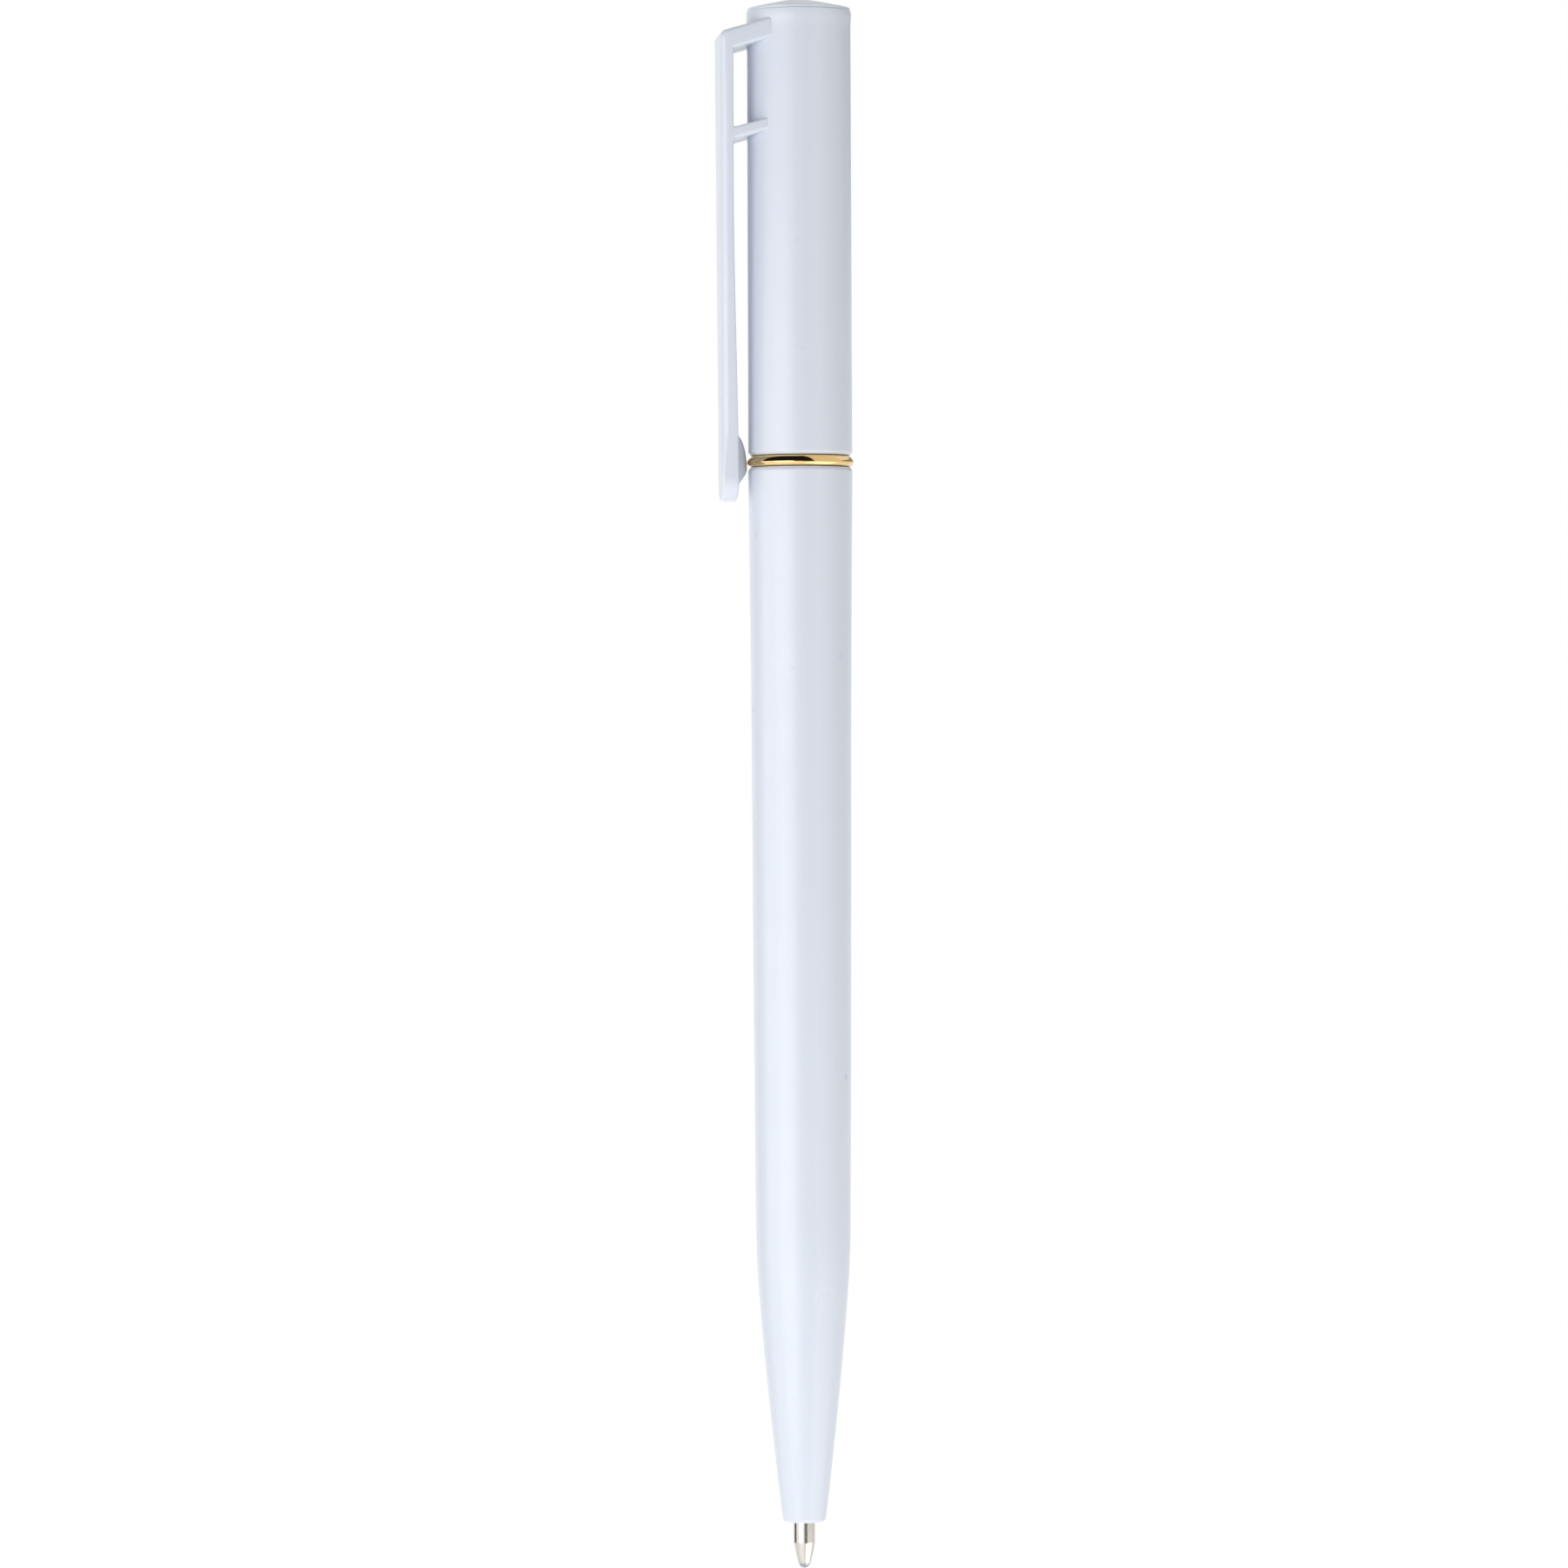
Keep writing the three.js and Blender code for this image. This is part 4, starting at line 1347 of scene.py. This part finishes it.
    def build(self, wardrobe: Wardrobe) -> None:
        """Makes the clip and dresses it."""
        clip = combined(self.make_plate(), self.make_second_strut(), Operation.JOIN)
        wardrobe.span(clip, Slot.BARREL, (Body.UPPER, self.flex),
                      (Body.CLIP, self.flex - self.flex_length), "clip_arm")


@dataclass
class Refill(SubAssembly):
    """The metal point with its writing ball, and the plastic socket, tube and ink behind it."""

    # The ball and the point
    ball_radius: float = 0.5
    ball_play: float = 0.03
    point_radius: float = 0.95
    cone_height: float = 2.26
    cone_margin: float = 0.1
    cone_foot_step: float = 0.01
    cone_foot_slope: float = 0.26
    cone_top_step: float = 0.02
    cone_top_slope: float = 0.2
    cone_edge: float = 0.2
    lip_height: float = 0.42
    lip_radius: float = 0.556
    lip_edge: float = 0.012
    point_edge: float = 0.05
    tail_radius: float = 0.6
    tail_edge: float = 0.1
    channel_radius: float = 0.25
    channel_edge: float = 0.05
    # The tube
    tube_radius: float = 1.5
    tube_wall: float = 0.5
    tube_edge: float = 0.08
    tube_bore_edge: float = 0.06
    # The socket between them
    socket_lip_height: float = 0.8
    socket_body_height: float = 1.7
    socket_edge: float = 0.08
    socket_lip_edge: float = 0.15
    socket_step_edge: float = 0.05
    spigot_edge: float = 0.15
    spigot_bore_edge: float = 0.05
    # The ink
    ink_edge: float = 0.05
    meniscus_depth: float = 0.35

    def make_point(self) -> bpy.types.Object:
        """Turns the point: an ogive cone with its lip rolled in over the ball.

        Returns:
            The piece.
        """
        tip = Extent.of("writing_ball").foot
        point = Extent.of("refill_point")
        shoulder = Extent.of("refill_socket").foot - SEAT_GAP
        seat = self.ball_radius + self.ball_play
        lip = tip + self.lip_height
        cone_top = tip + self.cone_height
        lip_angle = math.asin((self.lip_height - self.ball_radius) / seat)
        channel_angle = math.acos(self.channel_radius / seat)
        socket = arc((0.0, tip + self.ball_radius), (seat, seat), channel_angle, lip_angle,
                     POINT_STEPS)
        cone = side((self.lip_radius + self.cone_foot_step, lip + self.cone_margin),
                    self.cone_foot_slope,
                    (self.point_radius - self.cone_top_step, cone_top - self.cone_margin),
                    self.cone_top_slope, POINT_STEPS)
        return turned("writing_point", [
            (self.lip_radius, lip, self.lip_edge),
            cone,
            (self.point_radius, cone_top, self.cone_edge),
            (self.point_radius, shoulder, self.point_edge),
            (self.tail_radius, shoulder),
            (self.tail_radius, point.top, self.tail_edge),
            (self.channel_radius, point.top, self.channel_edge),
            socket,
        ])

    def make_ball(self) -> bpy.types.Object:
        """Turns the writing ball: half a circle carried round the axis.

        Returns:
            The piece.
        """
        ball = Extent.of("writing_ball")
        circle = arc((0.0, ball.foot + self.ball_radius), (self.ball_radius, self.ball_radius),
                     -math.pi / 2, math.pi / 2, BALL_STEPS)
        return turned("carbide_ball", [circle], SMALL_TURNED_SIDES)

    def make_socket(self) -> bpy.types.Object:
        """Turns the socket: a lip for the spring, a body and a spigot.

        Returns:
            The piece.
        """
        part = Extent.of("refill_socket")
        lip_top = part.foot + self.socket_lip_height
        body_top = lip_top + self.socket_body_height
        bore = self.tail_radius + SEAT_GAP
        spigot = self.tube_radius - self.tube_wall - SEAT_GAP
        return turned("point_socket", [
            (bore, part.foot, self.socket_edge),
            (part.radius, part.foot, self.socket_edge),
            (part.radius, lip_top, self.socket_lip_edge),
            (self.tube_radius, lip_top, self.socket_step_edge),
            (self.tube_radius, body_top, self.socket_edge),
            (spigot, body_top),
            (spigot, part.top, self.spigot_edge),
            (bore, part.top, self.spigot_bore_edge),
        ], SMALL_TURNED_SIDES)

    def make_tube(self) -> bpy.types.Object:
        """Turns the ink tube, cut off square with slightly softened ends.

        Returns:
            The piece.
        """
        return tube("ink_tube", self.tube_radius - self.tube_wall, self.tube_radius,
                    Extent.of("refill_tube"), self.tube_bore_edge, self.tube_edge)

    def make_ink(self) -> bpy.types.Object:
        """Turns the ink, whose top surface hollows where it clings to the tube.

        Returns:
            The piece.
        """
        part = Extent.of("refill_ink")
        hollow = arc((0.0, part.top), (part.radius, self.meniscus_depth), 0.0, -math.pi / 2,
                     MENISCUS_STEPS)
        return turned("ink_column", [
            (0.0, part.foot),
            (part.radius, part.foot, self.ink_edge),
            hollow[:-1],
            (0.0, hollow[-1, 1]),
        ], SMALL_TURNED_SIDES)

    def build(self, wardrobe: Wardrobe) -> None:
        """Makes and dresses the refill's pieces.

        Args:
            wardrobe: what dresses them.
        """
        wardrobe.seat(self.make_point(), Slot.POINT, Body.REFILL, "refill_point")
        wardrobe.seat(self.make_ball(), Slot.BALL, Body.BALL, "writing_ball")
        wardrobe.seat(self.make_socket(), Slot.REFILL, Body.REFILL, "refill_socket")
        wardrobe.seat(self.make_tube(), Slot.REFILL, Body.REFILL, "refill_tube")
        wardrobe.seat(self.make_ink(), Slot.INK, Body.REFILL, "refill_ink")


@dataclass
class TwistMechanism(SubAssembly):
    """The guide sleeve and its collar, the cam tube, and the plunger with its cross pin."""

    sleeve_bore: float = 2.15
    sleeve_radius: float = 2.8
    flange_height: float = 1.0
    cam_bore: float = 2.9
    slot_gap: float = 0.2
    travel: float = 5.5
    plunger_bore: float = 1.55
    cup_depth: float = 6.0
    edge: float = 0.12
    flange_root: float = 0.1
    collar_bore_edge: float = 0.08
    cup_edge: float = 0.1
    plunger_top_edge: float = 0.3

    def __post_init__(self) -> None:
        """Reads the pin's place from the frame."""
        pin = Extent.of("drive_pin")
        self.pin_height = (pin.foot + pin.top) / 2
        self.pin_radius = (pin.top - pin.foot) / 2
        self.pin_reach = pin.radius
        self.slot_radius = self.pin_radius + self.slot_gap

    def cross_cutter(self, radius: float, travel: float) -> bpy.types.Object:
        """A cutter across the pen for a round hole, or for a slot with round ends.

        Its outline is a circle of the radius whose upper half is moved up by the travel.

        Args:
            radius: radius of the hole or of the slot's ends.
            travel: distance between the middles of the slot's ends.

        Returns:
            The solid, from side to side along Y.
        """
        angle = (np.arange(CUTTER_SIDES) + 0.5) * 2 * math.pi / CUTTER_SIDES
        across = radius * np.cos(angle)
        height = self.pin_height + radius * np.sin(angle) + travel * (np.sin(angle) > 0)
        middle = self.pin_height + travel / 2
        reach = 2 * self.pin_reach
        zero = np.zeros(CUTTER_SIDES)
        places = np.stack([
            np.column_stack([zero, zero - reach, zero + middle]),
            np.column_stack([across, zero - reach, height]),
            np.column_stack([across, zero + reach, height]),
            np.column_stack([zero, zero + reach, zero + middle]),
        ])
        return make_piece("cross_cutter", places.reshape(-1, 3),
                          grid_faces(*places.shape[:2], closed=False))

    def spiral_cutter(self, start: float, bore: float) -> bpy.types.Object:
        """A cutter for one spiral slot with round ends.

        At a share t of the half turn its middle is at the angle start - pi t and at the height
        pin + travel t. Its half height is h, and h sqrt(1 - u^2) at a share u into its ends.

        Args:
            start: angle of its lower end.
            bore: radius that it reaches out to.

        Returns:
            The solid.
        """
        run = math.pi * self.cam_bore
        half = self.slot_radius * math.hypot(1, self.travel / run)
        rounding = np.sin(np.linspace(0.0, math.pi / 2, SPIRAL_END_STEPS + 1))
        end = self.slot_radius / run * rounding
        along = np.linspace(0.0, 1.0, SPIRAL_STEPS + 1)[1:-1]
        share = np.concatenate([-end[::-1], along, 1 + end])
        into = np.clip(np.maximum(-share, share - 1), 0.0, end[-1]) / end[-1]
        half_height = half * np.sqrt(1 - into ** 2)
        angle = (start - math.pi * share)[:, None]
        radius = np.array([self.sleeve_radius, bore, bore, self.sleeve_radius])
        side_of = np.array([-1.0, -1.0, 1.0, 1.0])
        height = self.pin_height + self.travel * share[:, None] + half_height[:, None] * side_of
        places = np.stack([radius * np.cos(angle), radius * np.sin(angle), height], axis=-1)
        return make_piece("spiral_cutter", places.reshape(-1, 3),
                          grid_faces(len(share), 4, closed=False))

    def make_sleeve(self) -> bpy.types.Object:
        """Turns the sleeve, and cuts its two straight slots.

        Returns:
            The piece.
        """
        sleeve = Extent.of("guide_sleeve")
        flange = Extent.of("lower_barrel").top + SEAT_GAP
        body = turned("guide_sleeve_moulding", [
            (self.sleeve_bore, sleeve.foot, self.edge),
            (self.sleeve_radius, sleeve.foot, self.edge),
            (self.sleeve_radius, flange),
            (sleeve.radius, flange, self.edge),
            (sleeve.radius, flange + self.flange_height, self.edge),
            (self.sleeve_radius, flange + self.flange_height, self.flange_root),
            (self.sleeve_radius, sleeve.top, self.edge),
            (self.sleeve_bore, sleeve.top, self.edge),
        ], SMALL_TURNED_SIDES)
        return combined(body, self.cross_cutter(self.slot_radius, self.travel), Operation.CUT)

    def make_collar(self) -> bpy.types.Object:
        """Turns the collar.

        Returns:
            The piece.
        """
        collar = Extent.of("retaining_collar")
        return tube("retaining_collar_moulding", self.sleeve_radius + SEAT_GAP, collar.radius,
                    collar, self.collar_bore_edge, self.edge)

    def make_cam(self) -> bpy.types.Object:
        """Turns the cam tube, and cuts its two spiral slots.

        Returns:
            The piece.
        """
        cam = Extent.of("cam_tube")
        piece = tube("cam_tube_moulding", self.cam_bore, cam.radius, cam, self.edge, self.edge)
        for start in (math.pi / 2, -math.pi / 2):
            combined(piece, self.spiral_cutter(start, cam.radius + RUN_GAP), Operation.CUT)
        return piece

    def make_plunger(self) -> bpy.types.Object:
        """Turns the plunger with the cup for the refill's end, and drills its pin hole.

        Returns:
            The piece.
        """
        plunger = Extent.of("plunger")
        floor = plunger.foot + self.cup_depth
        body = turned("plunger_moulding", [
            (0.0, floor),
            (self.plunger_bore, floor, self.cup_edge),
            (self.plunger_bore, plunger.foot, self.edge),
            (plunger.radius, plunger.foot, self.edge),
            (plunger.radius, plunger.top, self.plunger_top_edge),
            (0.0, plunger.top),
        ], SMALL_TURNED_SIDES)
        return combined(body, self.cross_cutter(self.pin_radius + SEAT_GAP, 0.0), Operation.CUT)

    def make_pin(self) -> bpy.types.Object:
        """Turns the pin about the pen's axis, and lays it across the pen along Y.

        Returns:
            The piece.
        """
        pin = turned("steel_cross_pin", [
            (0.0, -self.pin_reach),
            (self.pin_radius, -self.pin_reach, self.edge),
            (self.pin_radius, self.pin_reach, self.edge),
            (0.0, self.pin_reach),
        ], SMALL_TURNED_SIDES)
        lift = Matrix.Translation((0.0, 0.0, self.pin_height * MM))
        pin.data.transform(lift @ Matrix.Rotation(math.pi / 2, 4, "X"))
        return pin

    def build(self, wardrobe: Wardrobe) -> None:
        """Makes and dresses the mechanism's pieces.

        Args:
            wardrobe: what dresses them.
        """
        wardrobe.seat(self.make_sleeve(), Slot.MECHANISM, Body.LOWER, "guide_sleeve")
        wardrobe.seat(self.make_collar(), Slot.MECHANISM, Body.LOWER, "retaining_collar")
        wardrobe.seat(self.make_cam(), Slot.MECHANISM, Body.UPPER, "cam_tube")
        wardrobe.seat(self.make_plunger(), Slot.MECHANISM, Body.REFILL, "plunger")
        wardrobe.seat(self.make_pin(), Slot.SPRING, Body.REFILL, "drive_pin")


@dataclass
class ReturnSpring(SubAssembly):
    """The return spring, wound from wire with one closed coil at each end."""

    coil_radius: float = 1.375
    wire_radius: float = 0.17
    turns: int = 8
    closed_turns: int = 1
    closed_pitch: float = 0.37
    steps_per_turn: int = 48
    wire_sides: int = 16
    cap_steps: int = 6

    def make_spring(self, foot: float, top: float) -> bpy.types.Object:
        """Winds the wire, whose ends are rounded off.

        The wire's middle at angle a is (R cos a, R sin a, z(a)), where z is closed_pitch a turn
        in the end coils and even between them. Round it the wire's surface is at
        w (cos b n + sin b m), with n outwards and m square to n and to the wire.

        Args:
            foot: height of the wire's middle at its lower end.
            top: the same at its upper end.

        Returns:
            The piece.
        """
        turn = np.linspace(0.0, self.turns, self.turns * self.steps_per_turn + 1)
        closed = self.closed_turns * self.closed_pitch
        height = np.interp(
            turn,
            [0.0, self.closed_turns, self.turns - self.closed_turns, self.turns],
            [foot, foot + closed, top - closed, top],
        )
        angle = 2 * math.pi * turn
        outwards = np.column_stack([np.cos(angle), np.sin(angle), 0 * angle])
        middle = self.coil_radius * outwards + np.column_stack([0 * angle, 0 * angle, height])
        along = np.gradient(middle, axis=0)
        along /= np.linalg.norm(along, axis=1)[:, None]
        square = np.cross(along, outwards)
        cap = np.linspace(0.0, math.pi / 2, self.cap_steps + 1)[:-1]
        middle = np.concatenate([
            middle[0] - self.wire_radius * np.cos(cap)[:, None] * along[0],
            middle,
            middle[-1] + self.wire_radius * np.cos(cap[::-1])[:, None] * along[-1],
        ])
        radius = self.wire_radius * np.concatenate([
            np.sin(cap), np.ones(len(turn)), np.sin(cap[::-1]),
        ])
        nearest = np.arange(-self.cap_steps, len(turn) + self.cap_steps).clip(0, len(turn) - 1)
        outwards, square = outwards[nearest], square[nearest]
        spin = np.linspace(0.0, 2 * math.pi, self.wire_sides, endpoint=False)[None, :, None]
        places = middle[:, None] + radius[:, None, None] * (
            np.cos(spin) * outwards[:, None] + np.sin(spin) * square[:, None]
        )
        return make_piece("coiled_return_spring", places.reshape(-1, 3),
                          grid_faces(len(middle), self.wire_sides, closed=False))

    def build(self, wardrobe: Wardrobe) -> None:
        """Makes the spring, which stretches between the lower barrel and the refill.

        Args:
            wardrobe: what dresses it.
        """
        packed = Extent.of("return_spring")
        foot, top = packed.foot + self.wire_radius, packed.top - self.wire_radius
        closed = self.closed_turns * self.closed_pitch + self.wire_radius
        wardrobe.span(self.make_spring(foot, top), Slot.SPRING, (Body.LOWER, foot + closed),
                      (Body.REFILL, top - closed), "return_spring")


@dataclass(frozen=True)
class Softbox:
    """A soft area light that the camera does not see. Its lengths are in metres.

    It stands left degrees to the camera's left, seen from the pen, with its middle at the
    height lift, and faces the pen's axis at the height aim. Its level is how bright its face
    is: a white sheet in plain light is 1.
    """

    name: str
    left: float
    distance: float
    width: float
    height: float
    level: float
    lift: float = 0.0
    aim: float = 0.0
    in_mirrors: bool = True


@dataclass(frozen=True)
class Patch:
    """A patch of a sphere round the ring that only reflections see.

    It lies between two places in degrees to the camera's left and between two elevations. Its
    strength is how bright it is: a white sheet in plain light is 1.
    """

    name: str
    left: tuple[float, float]
    up: tuple[float, float]
    colour: str
    strength: float = 1.0


SOFTBOXES = (
    # Wide and weak, to the left: it lifts the clip's side and gives no highlight
    Softbox("side_softbox", left=110.0, distance=0.5, width=0.5, height=0.5, level=0.42,
            in_mirrors=False),
    # The main light, to the front left
    Softbox("key_softbox", left=36.0, distance=0.35, width=0.28, height=0.25, level=2.3),
    # Low and close, to the front right
    Softbox("low_fill", left=-62.0, distance=0.13, width=0.22, height=0.16, level=0.9,
            lift=-0.105, aim=0.03),
)

# The room that the ring and the point mirror, which gives them their light and dark bands
PATCHES = (
    # Dark behind the camera
    Patch("camera_side", (-30.0, 25.0), (-10.0, 8.0), "#2A2A2C"),
    # Dark above, from the camera round to the left
    Patch("ceiling_left", (-30.0, 130.0), (8.0, 90.0), "#1C1C1E"),
    # A warm white wall to the right
    Patch("right_side", (-105.0, -30.0), (-15.0, 90.0), "#EFE9DF"),
    # Nearly black, low and a little to the camera's right
    Patch("camera_low", (-34.0, -3.0), (-60.0, -13.6), "#0E0E10"),
    # A grey strip behind the pen to the right
    Patch("right_back", (-165.0, -105.0), (6.0, 20.0), "#9A9A9C"),
    # A bright card to the left that lights nothing and glows only in reflections: a painted
    # highlight band on the ring
    Patch("painted_glint_left", (58.0, 97.0), (-14.0, 8.0), "#FFFFFF", 2.1),
    # Dark grey, further back than the lamp
    Patch("far_left", (97.0, 135.0), (-20.0, 8.0), "#6A6A6C"),
)


@dataclass
class Studio:
    """White room, floor, soft light and camera. Its lengths are in metres."""

    # The camera, whose azimuth is from straight in front towards the clip's side if below 0
    azimuth: float = -5.0
    roll: float = 0.223
    distance: float = 0.689
    eye_height: float = 0.040
    aim_left: float = 0.00157
    lens: float = 177.1
    sensor: float = 36.0
    # The room and the floor
    room_level: float = 0.47
    floor_height: float = -0.17
    floor_size: float = 12.0
    floor_colour: str = "#EEEEEE"
    floor_roughness: float = 0.9
    floor_glow: float = 0.62
    floor_light: float = 0.35
    # The sphere of the patches
    patch_distance: float = 0.6
    patch_step: float = 5.0

    def direction(self, left: float) -> Vector:
        """The level direction that many degrees to the camera's left, seen from the pen."""
        turn = math.radians(self.azimuth - left)
        return Vector((math.sin(turn), -math.cos(turn), 0.0))

    def make_camera(self) -> None:
        """Makes the camera: level, a little to the clip's side, and rolled very slightly."""
        back = self.direction(0.0)
        right = Vector((-back.y, back.x, 0.0))
        up = Vector((0.0, 0.0, 1.0))
        tilt = math.radians(self.roll)
        rolled_right = right * math.cos(tilt) - up * math.sin(tilt)
        rolled_up = up * math.cos(tilt) + right * math.sin(tilt)
        data = bpy.data.cameras.new("camera")
        data.lens = self.lens
        data.sensor_width = self.sensor
        camera = add_object("camera", data)
        place = back * self.distance - right * self.aim_left + up * self.eye_height
        axes = Matrix((rolled_right, rolled_up, back)).transposed().to_4x4()
        camera.matrix_world = Matrix.Translation(place) @ axes
        bpy.context.scene.camera = camera

    def make_room(self) -> None:
        """White round the camera's and the mirrors' view, and plain soft light for the rest."""
        world = bpy.data.worlds.new("white_room")
        bpy.context.scene.world = world
        world.use_nodes = True
        tree = world.node_tree
        tree.nodes.clear()
        seen = self.seen_rays(tree)
        level = add_node(tree, "ShaderNodeMapRange", {
            "To Min": self.room_level, "To Max": 1.0,
        }, {"Value": seen})
        light = add_node(tree, "ShaderNodeBackground", {"Color": WHITE}, {
            "Strength": level.outputs["Result"],
        })
        add_node(tree, "ShaderNodeOutputWorld", None, {"Surface": light.outputs["Background"]})

    def seen_rays(self, tree: Tree) -> Socket:
        """Tells what the eye and the mirrors see from what only lights the pen.

        Args:
            tree: the node tree.

        Returns:
            1 for camera, glossy and transmission rays, else 0.
        """
        path = add_node(tree, "ShaderNodeLightPath")
        gloss = add_node(tree, "ShaderNodeMath", None, {
            0: path.outputs["Is Camera Ray"], 1: path.outputs["Is Glossy Ray"],
        }, operation="MAXIMUM")
        seen = add_node(tree, "ShaderNodeMath", None, {
            0: gloss.outputs["Value"], 1: path.outputs["Is Transmission Ray"],
        }, operation="MAXIMUM")
        return seen.outputs["Value"]

    def add_card(self, name: str, places: np.ndarray,
                 material: bpy.types.Material) -> bpy.types.Object:
        """Adds an open sheet that belongs to the studio.

        Args:
            name: its name.
            places: a grid of its points, by row and column.
            material: its material.

        Returns:
            The new object.
        """
        number = np.arange(places[..., 0].size).reshape(places.shape[:2])
        faces = np.stack([
            number[:-1, :-1], number[:-1, 1:], number[1:, 1:], number[1:, :-1],
        ], axis=-1).reshape(-1, 4)
        mesh = bpy.data.meshes.new(name)
        mesh.from_pydata(places.reshape(-1, 3).tolist(), [], faces.tolist())
        mesh.materials.append(material)
        card = add_object(name, mesh)
        return card

    def make_floor(self) -> None:
        """A pale floor well below the pen. It looks white and still takes the pen's shadow."""
        material, tree = blank_material("pale_floor")
        glow = add_node(tree, "ShaderNodeMapRange", {
            "To Min": self.floor_light, "To Max": self.floor_glow,
        }, {"Value": self.seen_rays(tree)})
        shader = add_node(tree, "ShaderNodeBsdfPrincipled", {
            "Base Color": linear(self.floor_colour), "Roughness": self.floor_roughness,
            "Emission Color": WHITE, "Specular IOR Level": 0.0,
        }, {"Emission Strength": glow.outputs["Result"]})
        add_node(tree, "ShaderNodeOutputMaterial", None, {"Surface": shader.outputs["BSDF"]})
        edges = np.array([-self.floor_size / 2, self.floor_size / 2])
        x, y = np.meshgrid(edges, edges)
        self.add_card("floor", np.stack([x, y, 0 * x + self.floor_height], axis=-1), material)

    def make_softbox(self, box: Softbox) -> None:
        """Makes a softbox as an area lamp.

        Args:
            box: what it is like.
        """
        data = bpy.data.lights.new(box.name, "AREA")
        data.shape = "RECTANGLE"
        data.size = box.width
        data.size_y = box.height
        data.energy = math.pi * box.level * box.width * box.height
        place = self.direction(box.left) * box.distance
        place.z = box.lift
        lamp = add_object(box.name, data)
        lamp.location = place
        lamp.rotation_mode = "QUATERNION"
        lamp.rotation_quaternion = (place - Vector((0.0, 0.0, box.aim))).to_track_quat("Z", "Y")
        lamp.visible_camera = False
        lamp.visible_glossy = box.in_mirrors

    def make_patch(self, patch: Patch) -> None:
        """Makes a patch of the sphere.

        The point at azimuth a and elevation e is at (cos e sin a, -cos e cos a, sin e).

        Args:
            patch: what it is like.
        """
        columns = int(abs(patch.left[1] - patch.left[0]) / self.patch_step) + 2
        rows = int((patch.up[1] - patch.up[0]) / self.patch_step) + 2
        turn = np.radians(self.azimuth - np.linspace(*patch.left, columns))[None, :]
        lift = np.radians(np.linspace(*patch.up, rows))[:, None]
        ring = Extent.of("centre_ring")
        places = self.patch_distance * np.stack([
            np.cos(lift) * np.sin(turn),
            -np.cos(lift) * np.cos(turn),
            np.sin(lift) + 0 * turn,
        ], axis=-1)
        places[..., 2] += (ring.foot + ring.top) / 2 * MM
        material, tree = blank_material(patch.name + "_card")
        glow = add_node(tree, "ShaderNodeEmission", {
            "Color": linear(patch.colour), "Strength": patch.strength,
        })
        add_node(tree, "ShaderNodeOutputMaterial", None, {"Surface": glow.outputs["Emission"]})
        card = self.add_card(patch.name, places, material)
        for ray in ("camera", "diffuse", "transmission", "shadow", "volume_scatter"):
            setattr(card, "visible_" + ray, False)

    def build(self) -> None:
        """Sets up the picture."""
        bpy.context.scene.view_settings.view_transform = "Standard"
        self.make_camera()
        self.make_room()
        self.make_floor()
        for box in SOFTBOXES:
            self.make_softbox(box)
        for patch in PATCHES:
            self.make_patch(patch)


def main() -> None:
    """Builds the studio and the pen."""
    logging.basicConfig(level=logging.INFO, format="%(name)s: %(message)s")
    Studio().build()
    wardrobe = Wardrobe()
    parts: tuple[SubAssembly, ...] = (
        LowerBarrel(), UpperBarrel(), PocketClip(), Refill(), TwistMechanism(), ReturnSpring(),
    )
    for part in parts:
        part.build(wardrobe)


if __name__ == "__main__":
    main()
